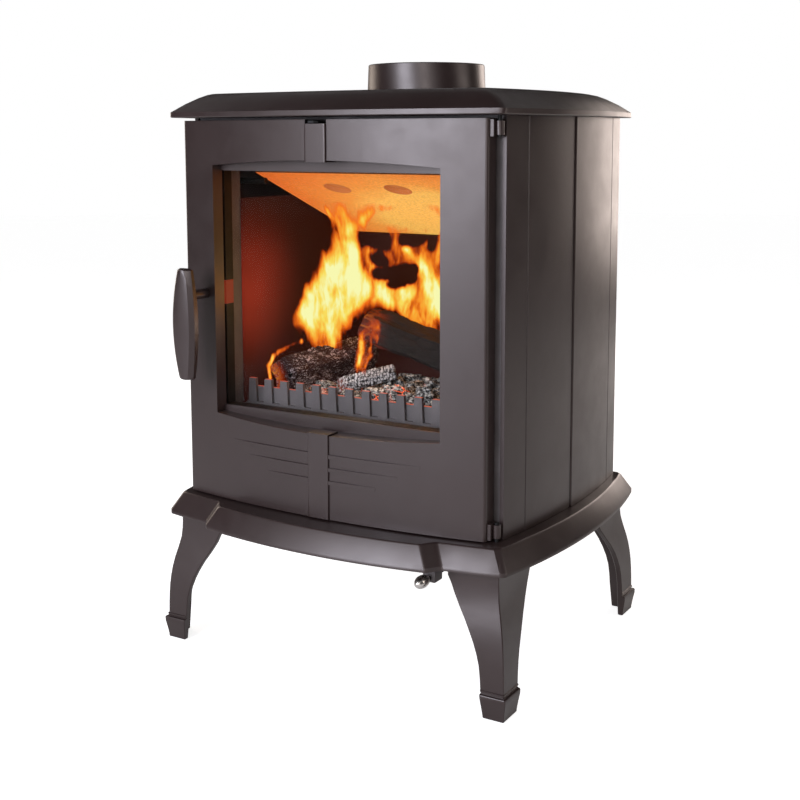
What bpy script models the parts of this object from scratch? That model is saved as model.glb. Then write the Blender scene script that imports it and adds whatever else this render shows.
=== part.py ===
"""A free-standing cast iron wood stove on four splayed legs, as an assembly of separate castings.

Metres, +Z up, front towards -Y. The origin is on the floor, under the middle of the stove.
The door front is bowed in plan, and every depth is counted from the chord of that bow.
"""

import math

import bmesh
import bpy
from mathutils import Matrix, Vector

# Clearances
SEAT_GAP = 0.0003
RUN_GAP = 0.0004

# Heights of the stack, from the floor up
LEG_HEIGHT = 0.1625
BASE_HEIGHT = 0.0275
BODY_HEIGHT = 0.469
TOP_LIP_HEIGHT = 0.0065
TOP_BEVEL_HEIGHT = 0.0227
COLLAR_HEIGHT = 0.0383
BASE_BOTTOM = LEG_HEIGHT
BASE_TOP = BASE_BOTTOM + BASE_HEIGHT
BODY_TOP = BASE_TOP + BODY_HEIGHT
TOP_SURFACE = BODY_TOP + TOP_LIP_HEIGHT + TOP_BEVEL_HEIGHT

# Depths, counted from the chord of the door's bow
CHORD_Y = -0.1545
BODY_FRONT = CHORD_Y + 0.0206
BODY_DEPTH = 0.3294
BODY_REAR = BODY_FRONT + BODY_DEPTH

# Width of the body over its side panels, and what stands out from it
PANEL_HALF_WIDTH = 0.2155
BASE_OVERHANG = 0.021
TOP_OVERHANG = 0.0125

# Base casting
BASE_HALF_WIDTH = PANEL_HALF_WIDTH + BASE_OVERHANG
BASE_SIDE_BOW = 0.0206
BASE_CORNER_Y = CHORD_Y - 0.020
BASE_REAR = BODY_REAR + 0.020
BASE_WING_BOW = 0.0244
BASE_CENTRE_Y = CHORD_Y - 0.064
BASE_WING_WIDTH = 0.0855
BASE_CENTRE_HALF = BASE_HALF_WIDTH - BASE_WING_WIDTH
BASE_CENTRE_BOW = 0.015
BASE_STEP_WIDTH = 0.0165
BASE_LIP = 0.005
BASE_BEVEL = 0.0115
BASE_SKIN = 0.008
BASE_RIM = 0.010
CORNER_RADIUS = 0.006

# Top casting
TOP_HALF_WIDTH = PANEL_HALF_WIDTH + TOP_OVERHANG
TOP_SIDE_BOW = 0.019
TOP_CORNER_Y = CHORD_Y - 0.013
TOP_FRONT_BOW = 0.0195
TOP_REAR = BODY_REAR + 0.012
TOP_BEVEL_WIDTH = 0.042
TOP_SKIN = 0.010

# Side panels
PANEL_BOW = 0.0138
PANEL_THICK = 0.006
PANEL_JOINT_Y = BODY_REAR - 0.1745
PANEL_STEP = 0.0014
PANEL_SLOT = 0.0012
BEAD_Y = CHORD_Y + 0.064
GROOVE_Y = BODY_REAR - 0.040
GROOVE_WIDTH = 0.0022
GROOVE_DEPTH = 0.0016

# Door
DOOR_LEFT_GAP = 0.0005
DOOR_RIGHT_GAP = 0.0130
DOOR_LEFT = DOOR_LEFT_GAP - PANEL_HALF_WIDTH
DOOR_RIGHT = PANEL_HALF_WIDTH - DOOR_RIGHT_GAP
DOOR_MID = (DOOR_LEFT + DOOR_RIGHT) / 2
DOOR_HALF = (DOOR_RIGHT - DOOR_LEFT) / 2
DOOR_BOW = 0.019
DOOR_SIDE_THICK = 0.020
DOOR_BOTTOM = BASE_TOP + 0.0015
DOOR_TOP = BODY_TOP - 0.0035
DOOR_BACK = CHORD_Y + DOOR_SIDE_THICK
DOOR_SKIN = 0.007
DOOR_FLANGE = 0.016
DOOR_FLANGE_TOP = 0.026
DOOR_FLANGE_BOTTOM = 0.0175
DOOR_EDGE_RADIUS = 0.0035

# Window in the door
WINDOW_MID = DOOR_MID - 0.0015
WINDOW_SIDE_RAIL = 0.05175
WINDOW_HALF = DOOR_HALF - WINDOW_SIDE_RAIL
WINDOW_BOTTOM = BASE_TOP + 0.1085
WINDOW_TOP_RAIL = 0.0535
WINDOW_TOP = DOOR_TOP - WINDOW_TOP_RAIL
WINDOW_ARCH = 0.0073
GLASS_OPENING_BOTTOM = WINDOW_BOTTOM + 0.0075
GLASS_OPENING_TOP = WINDOW_TOP - 0.0065
GLASS_LIP_Y = CHORD_Y + 0.007
GLASS_SEAT_Y = CHORD_Y + 0.010
GLASS_THICK = 0.004
GLASS_OVERLAP = 0.0055
SURROUND_WALL = 0.005
RETAINER_WIDTH = 0.0045
RETAINER_REAR_Y = CHORD_Y + 0.029

# Raised relief on the door
RIB_WIDTH = 0.029
RIB_PROUD = 0.0025
RIB_EDGE_RADIUS = 0.0016
RIB_LAP = 0.002
NOTCH_DEPTH = 0.005
NOTCH_FLARE = 0.008
BAR_HEIGHT = 0.0056
BAR_PITCH = 0.0155
BAR_TOP_Z = WINDOW_BOTTOM - 0.0285
BAR_REACHES = (0.132, 0.104, 0.076)
BAR_PROUD = 0.0018
BAR_FADE = 0.045

# Hinges
HINGE_X = PANEL_HALF_WIDTH - PANEL_THICK
HINGE_Y = CHORD_Y + 0.0135
PIN_RADIUS = 0.0024
KNUCKLE_RADIUS = 0.0049
KNUCKLE_HEIGHT = 0.015
KNUCKLE_LEVELS = (DOOR_BOTTOM + 0.003, DOOR_TOP - KNUCKLE_HEIGHT - 0.003)
PIN_ENGAGE = 0.007
LUG_WIDTH = 0.0042
LUG_REACH = 0.0095

# Handle
HANDLE_X = DOOR_LEFT + 0.035
HANDLE_Z = WINDOW_BOTTOM + 0.147
HANDLE_LENGTH = 0.135
HANDLE_ABOVE = 0.034
HANDLE_WIDTH = 0.034
HANDLE_CHAMFER = 0.005
HANDLE_END_ROUND = 0.0022
HANDLE_FRONT_Y = CHORD_Y - 0.0545
HANDLE_BACK_Y = CHORD_Y - 0.0400
HANDLE_THICK = HANDLE_BACK_Y - HANDLE_FRONT_Y
POST_RADIUS = 0.0062
SPINDLE_RADIUS = 0.004
BOSS_RADIUS = 0.0095
CAM_REACH = 0.014
CAM_THICK = 0.0055

# Front frame behind the door
FRAME_SIDE_GAP = 0.001
FRAME_HALF_WIDTH = PANEL_HALF_WIDTH - PANEL_THICK - FRAME_SIDE_GAP
FRAME_Y = CHORD_Y + 0.024
FRAME_THICK = 0.008
FRAME_STILE = 0.037
FRAME_OPENING_HALF = FRAME_HALF_WIDTH - FRAME_STILE
FRAME_OPENING_BOTTOM = WINDOW_BOTTOM + 0.0015
FRAME_OPENING_TOP = WINDOW_TOP + 0.0005
FRAME_RETURN_Y = CHORD_Y + 0.0535
FRAME_RETURN_THICK = 0.006
ASH_STILE = 0.0685
ASH_OPENING_HALF = FRAME_HALF_WIDTH - ASH_STILE
ASH_SILL = 0.0187
ASH_OPENING_BOTTOM = BASE_TOP + ASH_SILL
ASH_OPENING_TOP = WINDOW_BOTTOM - 0.0205
ROPE_WIDTH = 0.008
ROPE_INSET = 0.0078

# Air wash slider above the door
TAB_LEFT = DOOR_MID - 0.0127
TAB_WIDTH = 0.015
TAB_THICK = 0.0027
TAB_TRAVEL = 0.010
TAB_Z = DOOR_TOP - NOTCH_DEPTH + 0.0008
TAB_FRONT_Y = CHORD_Y - 0.0205
WASH_PLATE_HALF = 0.105
WASH_PLATE_THICK = 0.0025
WASH_PLATE_HEIGHT = 0.018
WASH_SLOT_WIDTH = 0.008
WASH_SLOT_HEIGHT = 0.007
WASH_SLOT_PITCH = 0.036
WASH_SLOT_PAIRS = 2

# Firebox
FLOOR_TOP = WINDOW_BOTTOM
FLOOR_THICK = 0.008
FLOOR_HALF = PANEL_HALF_WIDTH - 0.0205
ASH_WALL_HALF = FLOOR_HALF - 0.039
GRATE_HALF_X = 0.100
GRATE_HALF_Y = 0.065
GRATE_LEDGE = 0.005
GRATE_SLOTS = 7
GRATE_SLOT_WIDTH = 0.010
GRATE_THICK = 0.005
LINER_X = FLOOR_HALF - 0.026
LINER_THICK = 0.018
LINER_BELOW_WINDOW = 0.0435
LINER_HEIGHT = WINDOW_TOP - FLOOR_TOP - LINER_BELOW_WINDOW
LINER_FRONT_Y = FRAME_RETURN_Y + 0.0005
LINER_BACK_Y = BODY_REAR - 0.060
BACK_LINER_THICK = 0.016
BAFFLE_FRONT_Y = CHORD_Y + 0.0755
BAFFLE_REAR_Y = LINER_BACK_Y + 0.010
BAFFLE_ABOVE_LINER = 0.033
BAFFLE_FALL = 0.0890
BAFFLE_FRONT_Z = FLOOR_TOP + LINER_HEIGHT + BAFFLE_ABOVE_LINER
BAFFLE_REAR_Z = BAFFLE_FRONT_Z - BAFFLE_FALL
BAFFLE_SIDE_GAP = 0.005
BAFFLE_HALF = LINER_X - BAFFLE_SIDE_GAP
BAFFLE_THICK = 0.022
RECESS_RADIUS = 0.0175
RECESS_DEPTH = 0.006
RECESS_PITCH = 0.089
RECESS_MID_X = 0.015
RECESS_Y = CHORD_Y + 0.127
PEG_RADIUS = 0.004
PEG_Y = CHORD_Y + 0.092

# Log fence
FENCE_Y = FRAME_RETURN_Y + 0.001
FENCE_HALF = LINER_X - 0.0025
FENCE_HEIGHT = 0.033
FENCE_SLAT_HEIGHT = 0.0225
FENCE_FOOT = 0.003
FENCE_END_GAPS = 0.0171
FENCE_TEETH = 14
FENCE_TOOTH_PITCH = (2 * FENCE_HALF - FENCE_END_GAPS) / (FENCE_TEETH - 1)
FENCE_TOOTH_BOTTOM = 0.0132
FENCE_TOOTH_TOP = 0.0102
FENCE_TOOTH_THICK = 0.005
FENCE_SLAT_THICK = 0.004

# Ash pan
PAN_HALF = ASH_OPENING_HALF - 0.012
PAN_FRONT_Y = CHORD_Y + 0.045
PAN_REAR_Y = LINER_BACK_Y - 0.028
PAN_HEIGHT = 0.045
PAN_WALL = 0.0015
RUNNER_X = PAN_HALF - 0.048
RUNNER_WIDTH = 0.012
RUNNER_HEIGHT = ASH_SILL

# Flue collar
COLLAR_Y = BODY_REAR - 0.126
COLLAR_TOP_RADIUS = 0.0745
COLLAR_FOOT_RADIUS = 0.0760
COLLAR_BORE = 0.0685
FLUE_HOLE_RADIUS = 0.0672
SPIGOT_BORE = 0.0620
SPIGOT_DEPTH = 0.011

# Legs
LEG_INSET_X = 0.0122
LEG_INSET_Y = 0.0102
LEG_WALL = 0.007
LEG_SPLAY_X = 1.08
LEG_SPLAY_Y = 1.10
LEG_EDGE = 0.001
# The stations are drawn for this leg height, and stretch between the ankle and the top with a longer leg
LEG_DRAWN_HEIGHT = 0.1625
# Leg sections: height, splay on the diagonal, width of the front flange, width of the side flange
LEG_SECTIONS = (
    (0.1500, 0.0000, 0.0640, 0.0835),
    (0.1420, 0.0003, 0.0600, 0.0795),
    (0.1310, 0.0012, 0.0560, 0.0735),
    (0.1180, 0.0038, 0.0510, 0.0650),
    (0.1050, 0.0068, 0.0455, 0.0570),
    (0.0930, 0.0090, 0.0410, 0.0510),
    (0.0820, 0.0104, 0.0370, 0.0465),
    (0.0700, 0.0115, 0.0335, 0.0420),
    (0.0580, 0.0121, 0.0310, 0.0392),
    (0.0450, 0.0125, 0.0298, 0.0375),
    (0.0325, 0.0127, 0.0292, 0.0368),
)
# Foot sections below the ankle: height, how far the outer faces stand proud of the leg
FOOT_SECTIONS = (
    (0.0315, 0.0010),
    (0.0302, 0.0010),
    (0.0292, -0.0003),
    (0.0280, -0.0003),
    (0.0274, 0.0030),
    (0.0262, 0.0037),
    (0.0215, 0.0034),
    (0.0130, 0.0017),
    (0.0040, 0.0002),
    (0.0000, 0.0000),
)
FOOT_SPLAY = 0.0131
LEG_PAD = 0.045
LEG_PAD_THICK = 0.009
BOLT_RADIUS = 0.004
BOLT_HEAD_RADIUS = 0.0075
BOLT_HEAD_HEIGHT = 0.005
BOLT_INSET = 0.026
PAD_SIDE = 0.070

# Lower air control
KNOB_X = BASE_HALF_WIDTH - 0.091
KNOB_Z = LEG_HEIGHT - 0.0135
KNOB_Y = CHORD_Y - 0.040
KNOB_HALF_X = 0.0078
KNOB_HALF_Y = 0.0130
KNOB_HALF_Z = 0.0080
STRIP_WIDTH = 0.010
STRIP_THICK = 0.003
STRIP_RISE_Y = CHORD_Y + 0.032
AIR_PLATE_LEFT = KNOB_X - 0.0475
AIR_PLATE_REAR_Y = CHORD_Y + 0.112
AIR_PLATE_THICK = 0.0025
AIR_TRAVEL = 0.030
GUIDE_WIDTH = 0.016
GUIDE_FRONT_Y = CHORD_Y - 0.0262
GUIDE_DEPTH = 0.018
GUIDE_BOTTOM = LEG_HEIGHT - 0.0190
STRAP_Y = CHORD_Y + 0.068
STRAP_DEPTH = 0.012
STRAP_THICK = 0.002
INLET_SLOTS = 3
INLET_SLOT = 0.006
INLET_PITCH = 0.010
INLET_FIRST_Y = CHORD_Y + 0.086

# Tie rods in the corners of the body
ROD_RADIUS = 0.003
ROD_X = PANEL_HALF_WIDTH - 0.0215
ROD_FRONT_Y = CHORD_Y + 0.058
ROD_REAR_Y = BODY_REAR - 0.026

# Logs
# A log is the two ends of its axis, its radius and a seed for its roughness, with heights above the floor's top
# Their places along X are counted from the left liner, and the right log's far end from the right one
LOG_LEFT = ((0.040 - LINER_X, 0.082, 0.034), (0.076 - LINER_X, 0.226, 0.045), 0.029, 0.0)
LOG_RIGHT = ((0.099 - LINER_X, 0.188, 0.091), (LINER_X - 0.041, 0.204, 0.0352), 0.026, 2.1)
LOG_FRONT = ((0.109 - LINER_X, 0.106, 0.0235), (0.171 - LINER_X, 0.142, 0.0425), 0.0115, 4.2)
LOG_SMALL = ((0.155 - LINER_X, 0.098, 0.021), (0.247 - LINER_X, 0.094, 0.019), 0.009, 1.3)
BED_HEIGHT = 0.016
BED_INSET = 0.017
BED_LOW = (BED_INSET - LINER_X, 0.066)
BED_HIGH = (LINER_X - BED_INSET, LINER_BACK_Y - CHORD_Y - 0.022)
MOUND_AT = (0.181 - LINER_X, 0.165)
MOUND_HEIGHT = 0.016
MOUND_SPREAD = 0.034

ARC_STEPS = 20
TURN_STEPS = 40

FINISHES = {
    "satin_iron": ((0.075, 0.062, 0.066), 0.45, 0.35),
    "raw_iron": ((0.035, 0.032, 0.032), 0.65, 0.5),
    "black_steel": ((0.02, 0.02, 0.02), 0.5, 0.6),
    "bright_steel": ((0.55, 0.53, 0.50), 0.25, 1.0),
    "glass": ((0.9, 0.9, 0.9), 0.05, 0.0),
    "fire_brick": ((0.45, 0.33, 0.22), 0.9, 0.0),
    "rope": ((0.05, 0.05, 0.05), 0.95, 0.0),
    "charred_wood": ((0.03, 0.025, 0.022), 0.9, 0.0),
}


# Scene, collections and materials


def clear_scene():
    """Removes whatever the file holds, so that only the stove is in it."""
    for obj in list(bpy.data.objects):
        bpy.data.objects.remove(obj, do_unlink=True)
    for collection in list(bpy.data.collections):
        bpy.data.collections.remove(collection)


def new_collection(name):
    collection = bpy.data.collections.new(name)
    bpy.context.scene.collection.children.link(collection)
    return collection


def paint(obj, finish):
    """Gives a piece its own material in one of the stove's finishes."""
    colour, roughness, metallic = FINISHES[finish]
    material = bpy.data.materials.new(f"{obj.name}_{finish}")
    material.use_nodes = True
    shader = material.node_tree.nodes["Principled BSDF"]
    shader.inputs["Base Color"].default_value = (*colour, 1.0)
    shader.inputs["Roughness"].default_value = roughness
    shader.inputs["Metallic"].default_value = metallic
    if finish == "glass":
        shader.inputs["Transmission Weight"].default_value = 1.0
    obj.data.materials.clear()
    obj.data.materials.append(material)


def add_object(name, mesh, cutter=False):
    obj = bpy.data.objects.new(name, mesh)
    if cutter:
        CUTTERS.objects.link(obj)
        obj.hide_render = True
        obj.display_type = "WIRE"
    else:
        PARTS.objects.link(obj)
    return obj


def from_bmesh(name, bm, cutter=False, smooth=False):
    bmesh.ops.recalc_face_normals(bm, faces=bm.faces)
    mesh = bpy.data.meshes.new(name)
    bm.to_mesh(mesh)
    bm.free()
    if smooth:
        mesh.shade_smooth()
        mesh.set_sharp_from_angle(angle=math.radians(35))
    return add_object(name, mesh, cutter)


# Shapes


def box(name, low, high, cutter=False, edge=0.0):
    """A box between two corners, with an optional rounded edge."""
    size = [b - a for a, b in zip(low, high)]
    centre = [(a + b) / 2 for a, b in zip(low, high)]
    bm = bmesh.new()
    bmesh.ops.create_cube(bm, size=1.0, matrix=Matrix.Diagonal((*size, 1.0)))
    obj = from_bmesh(name, bm, cutter)
    obj.location = centre
    if edge:
        bevel = obj.modifiers.new("rounded_edges", "BEVEL")
        bevel.width = edge
        bevel.segments = 2
    return obj


def flat_shape(name, outlines, start, end, plane="XY", cutter=False):
    """An outline, with any holes, drawn as a filled 2D curve and extruded from start to end across its plane."""
    curve = bpy.data.curves.new(name, "CURVE")
    curve.dimensions = "2D"
    curve.fill_mode = "BOTH"
    curve.extrude = (end - start) / 2
    for outline in outlines:
        spline = curve.splines.new("POLY")
        spline.points.add(len(outline) - 1)
        for point, (u, v) in zip(spline.points, outline):
            point.co = (u, v, 0.0, 1.0)
        spline.use_cyclic_u = True
    drawn = bpy.data.objects.new(name + "_outline", curve)
    bpy.context.scene.collection.objects.link(drawn)
    graph = bpy.context.evaluated_depsgraph_get()
    mesh = bpy.data.meshes.new_from_object(drawn.evaluated_get(graph))
    bpy.data.objects.remove(drawn, do_unlink=True)
    bpy.data.curves.remove(curve)
    middle = (start + end) / 2
    place = {
        "XY": Matrix.Translation((0, 0, middle)),
        "XZ": Matrix.Translation((0, middle, 0)) @ Matrix.Rotation(math.pi / 2, 4, "X"),
        "YZ": Matrix.Translation((middle, 0, 0)) @ Matrix(((0, 0, 1, 0), (1, 0, 0, 0), (0, 1, 0, 0), (0, 0, 0, 1))),
    }[plane]
    bm = bmesh.new()
    bm.from_mesh(mesh)
    bpy.data.meshes.remove(mesh)
    bmesh.ops.transform(bm, matrix=place, verts=bm.verts)
    bmesh.ops.remove_doubles(bm, verts=bm.verts, dist=1e-6)
    for face in bm.faces:
        face.smooth = False
    return from_bmesh(name, bm, cutter)


def rectangle(u0, v0, u1, v1):
    return [(u0, v0), (u1, v0), (u1, v1), (u0, v1)]


def loft(name, rings, cutter=False, smooth=False, split=False):
    """A closed solid through rings of equally many points. Split quads keep the same diagonal in every copy."""
    bm = bmesh.new()
    rows = [[bm.verts.new(point) for point in ring] for ring in rings]
    count = len(rows[0])
    for lower, upper in zip(rows, rows[1:]):
        for i in range(count):
            j = (i + 1) % count
            if split:
                bm.faces.new((lower[i], lower[j], upper[j]))
                bm.faces.new((lower[i], upper[j], upper[i]))
            else:
                bm.faces.new((lower[i], lower[j], upper[j], upper[i]))
    bm.faces.new(rows[0])
    bm.faces.new(rows[-1])
    return from_bmesh(name, bm, cutter, smooth)


def turned(name, profile, at, axis="Z", cutter=False, steps=TURN_STEPS, closed=False):
    """A profile of (radius, height) pairs, top to bottom, swept round an axis with a Screw modifier."""
    bm = bmesh.new()
    points = [bm.verts.new((radius, 0.0, height)) for radius, height in profile]
    for first, second in zip(points, points[1:]):
        bm.edges.new((first, second))
    if closed:
        bm.edges.new((points[-1], points[0]))
    mesh = bpy.data.meshes.new(name)
    bm.to_mesh(mesh)
    bm.free()
    obj = add_object(name, mesh, cutter)
    obj.location = at
    if axis == "Y":
        obj.rotation_euler = (math.pi / 2, 0.0, 0.0)
    elif axis == "X":
        obj.rotation_euler = (0.0, math.pi / 2, 0.0)
    screw = obj.modifiers.new("turn", "SCREW")
    screw.steps = steps
    screw.render_steps = steps
    screw.use_merge_vertices = True
    screw.merge_threshold = 0.00001
    screw.use_smooth_shade = True
    return obj


def rod(name, radius, at, length, axis="Z", cutter=False, steps=20, bore=0.0):
    """A plain round bar, or a tube, centred on a point."""
    half = length / 2
    if bore:
        profile = [(radius, half), (radius, -half), (bore, -half), (bore, half)]
        return turned(name, profile, at, axis, cutter, steps, closed=True)
    return turned(name, [(0, half), (radius, half), (radius, -half), (0, -half)], at, axis, cutter, steps)


# Joining, cutting and hanging


def combine(target, tool, operation):
    modifier = target.modifiers.new(f"{operation.lower()}_{tool.name}", "BOOLEAN")
    modifier.operation = operation
    modifier.object = tool
    modifier.solver = "EXACT"
    return target


def cut(target, *tools):
    for tool in tools:
        combine(target, tool, "DIFFERENCE")
    return target


def join(target, *tools):
    for tool in tools:
        combine(target, tool, "UNION")
    return target


def hang(pieces, pivot):
    """Parents pieces to an empty on their joint's axis, without moving them."""
    bpy.context.view_layer.update()
    for piece in pieces:
        piece.parent = pivot
        piece.matrix_parent_inverse = pivot.matrix_world.inverted()


def pivot(name, at, parent=None):
    empty = bpy.data.objects.new(name, None)
    empty.empty_display_size = 0.03
    empty.location = at
    PARTS.objects.link(empty)
    if parent:
        hang([empty], parent)
    bpy.context.view_layer.update()
    return empty


# Outlines in plan


def bow(x, half, depth):
    """How far a shallow arc of the given half width and depth stands proud at x."""
    radius = (half * half + depth * depth) / (2 * depth)
    return depth - (radius - math.sqrt(radius * radius - x * x))


def arc(x0, x1, half, depth, steps=ARC_STEPS):
    """Points of a shallow arc from x0 to x1, as (x, proud) pairs."""
    return [(x0 + (x1 - x0) * i / steps, bow(x0 + (x1 - x0) * i / steps, half, depth)) for i in range(steps + 1)]


def round_corner(at, radius, start, steps=3):
    """A quarter turn round a centre, counter-clockwise from the start angle in degrees."""
    angles = [math.radians(start + 90 * i / steps) for i in range(steps + 1)]
    return [(at[0] + radius * math.cos(a), at[1] + radius * math.sin(a)) for a in angles]


def mirrored(half):
    """A closed outline from its right half, which runs from the front to the rear."""
    return half + [(-x, y) for x, y in reversed(half) if x > 1e-6]


def base_half(inset):
    """The right half of the base in plan: stepped centre front, wing, corner, bowed side, corner, straight rear."""
    front_half = BASE_CENTRE_HALF - inset
    points = []
    for i in range(11):
        x = front_half * i / 10
        points.append((x, BASE_CENTRE_Y + inset + BASE_CENTRE_BOW - bow(x, BASE_CENTRE_HALF, BASE_CENTRE_BOW)))
    half = BASE_HALF_WIDTH
    step_end = front_half + BASE_STEP_WIDTH
    y_start = points[-1][1]
    y_end = BASE_CORNER_Y + inset - bow(step_end, half, BASE_WING_BOW)
    for i in range(1, 9):
        t = i / 8
        eased = t * t * (3 - 2 * t)
        points.append((front_half + BASE_STEP_WIDTH * t, y_start + (y_end - y_start) * eased))
    right = half - inset
    for i in range(1, 5):
        x = step_end + (right - CORNER_RADIUS - step_end) * i / 4
        points.append((x, BASE_CORNER_Y + inset - bow(x, half, BASE_WING_BOW)))
    low = BASE_CORNER_Y + inset
    high = BASE_REAR - inset
    points += round_corner((right - CORNER_RADIUS, low + CORNER_RADIUS), CORNER_RADIUS, -90)[1:]
    points += side_points(right, low + CORNER_RADIUS, high - CORNER_RADIUS, BASE_SIDE_BOW)
    points += round_corner((right - CORNER_RADIUS, high - CORNER_RADIUS), CORNER_RADIUS, 0)
    points.append((0.0, high))
    return points


def side_points(x, low, high, depth, steps=16):
    """Points between the two ends of a bowed side, without the ends."""
    middle = (low + high) / 2
    half = (high - low) / 2
    return [(x + bow(low + (high - low) * i / steps - middle, half, depth), low + (high - low) * i / steps)
            for i in range(1, steps)]


def top_half(inset):
    """The right half of the top in plan: bowed front, corner, bowed side, corner, straight rear."""
    right = TOP_HALF_WIDTH - inset
    low = TOP_CORNER_Y + inset
    high = TOP_REAR - inset
    points = []
    for i in range(15):
        x = (right - CORNER_RADIUS) * i / 14
        points.append((x, low - bow(x, TOP_HALF_WIDTH, TOP_FRONT_BOW)))
    points += round_corner((right - CORNER_RADIUS, low + CORNER_RADIUS), CORNER_RADIUS, -90)[1:]
    points += side_points(right, low + CORNER_RADIUS, high - CORNER_RADIUS, TOP_SIDE_BOW)
    points += round_corner((right - CORNER_RADIUS, high - CORNER_RADIUS), CORNER_RADIUS, 0)
    points.append((0.0, high))
    return points


def ring(outline, z):
    return [(x, y, z) for x, y in outline]


def face_y(x):
    """The door's bowed front face."""
    return CHORD_Y - bow(x - DOOR_MID, DOOR_HALF, DOOR_BOW)


def bowed_plan(x0, x1, offset, back, radius=0.0):
    """Plan of a block whose front follows the door's face at an offset, with rounded front corners, and whose back is flat."""
    inner0 = x0 + radius
    inner1 = x1 - radius
    front = []
    for i in range(ARC_STEPS + 1):
        x = inner0 + (inner1 - inner0) * i / ARC_STEPS
        front.append((x, face_y(x) + offset))
    if radius:
        left = round_corner((inner0, front[0][1] + radius), radius, 180)
        right = round_corner((inner1, front[-1][1] + radius), radius, 270)
        front = left[:-1] + front + right[1:]
    return front + [(x1, back), (x0, back)]


# Base, legs and top


def make_base():
    """A hollow casting with a sloping rim, corner pads for the legs and air inlet slots in its floor."""
    base = loft("base_plate", [
        ring(mirrored(base_half(0.0)), BASE_BOTTOM),
        ring(mirrored(base_half(0.0)), BASE_BOTTOM + BASE_LIP),
        ring(mirrored(base_half(BASE_BEVEL)), BASE_TOP - 0.0015),
        ring(mirrored(base_half(BASE_BEVEL + 0.002)), BASE_TOP),
    ])
    inside = BASE_BEVEL + BASE_RIM
    hollow = flat_shape("base_hollow", [mirrored(base_half(inside))], BASE_BOTTOM - 0.01, BASE_TOP - BASE_SKIN, cutter=True)
    for side in (-1, 1):
        for end in (-1, 1):
            x = side * (BASE_HALF_WIDTH - PAD_SIDE / 2)
            y = LEG_Y[end] - end * (PAD_SIDE / 2 - LEG_INSET_Y)
            pad = box(f"base_pad_{side}_{end}", (x - PAD_SIDE / 2, y - PAD_SIDE / 2, BASE_BOTTOM - 0.02),
                      (x + PAD_SIDE / 2, y + PAD_SIDE / 2, BASE_TOP - BASE_SKIN / 2), cutter=True)
            cut(hollow, pad)
    guide_pad = box("base_guide_pad", (KNOB_X - GUIDE_WIDTH, BASE_CENTRE_Y, BASE_BOTTOM - 0.02),
                    (KNOB_X + GUIDE_WIDTH, GUIDE_FRONT_Y + GUIDE_DEPTH + 0.003, BASE_TOP - BASE_SKIN / 2), cutter=True)
    cut(hollow, guide_pad)
    cut(base, hollow)
    for (side, end), (x, y) in bolt_places().items():
        cut(base, rod(f"base_bolt_hole_{side}_{end}", BOLT_RADIUS + RUN_GAP, (x, y, BASE_BOTTOM), 0.024, cutter=True, steps=12))
    for i in range(INLET_SLOTS):
        y = INLET_FIRST_Y + i * INLET_PITCH
        cut(base, box(f"base_inlet_{i}", (AIR_PLATE_LEFT + 0.004, y - INLET_SLOT / 2, BASE_TOP - 0.02),
                      (KNOB_X - 0.004, y + INLET_SLOT / 2, BASE_TOP + 0.01), cutter=True))
    cut(base, pin_hole("base_pin_hole", BASE_TOP - PIN_ENGAGE - SEAT_GAP, BASE_TOP + 0.01))
    paint(base, "satin_iron")
    return base


def pin_hole(name, low, high):
    return rod(name, PIN_RADIUS + RUN_GAP, (HINGE_X, HINGE_Y, (low + high) / 2), high - low, cutter=True, steps=16)


def bolt_places():
    """Where each leg is bolted, by its side and end."""
    places = {}
    for side in (-1, 1):
        for end in (-1, 1):
            corner_x = BASE_HALF_WIDTH - LEG_INSET_X
            places[side, end] = (side * (corner_x - BOLT_INSET), LEG_Y[end] - end * BOLT_INSET)
    return places


def leg_section(side, end, z, splay, front, sideways, proud):
    """The L-shaped section of a leg at one height: outer corner, two flanges, inner corner."""
    corner_x = BASE_HALF_WIDTH - LEG_INSET_X + LEG_SPLAY_X * splay
    corner_y = LEG_Y[end] + end * LEG_SPLAY_Y * splay
    outline = [(-proud, -proud), (front, -proud), (front, LEG_WALL), (LEG_WALL, LEG_WALL), (LEG_WALL, sideways), (-proud, sideways)]
    return [(side * (corner_x - x), corner_y - end * y, z) for x, y in outline]


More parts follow.
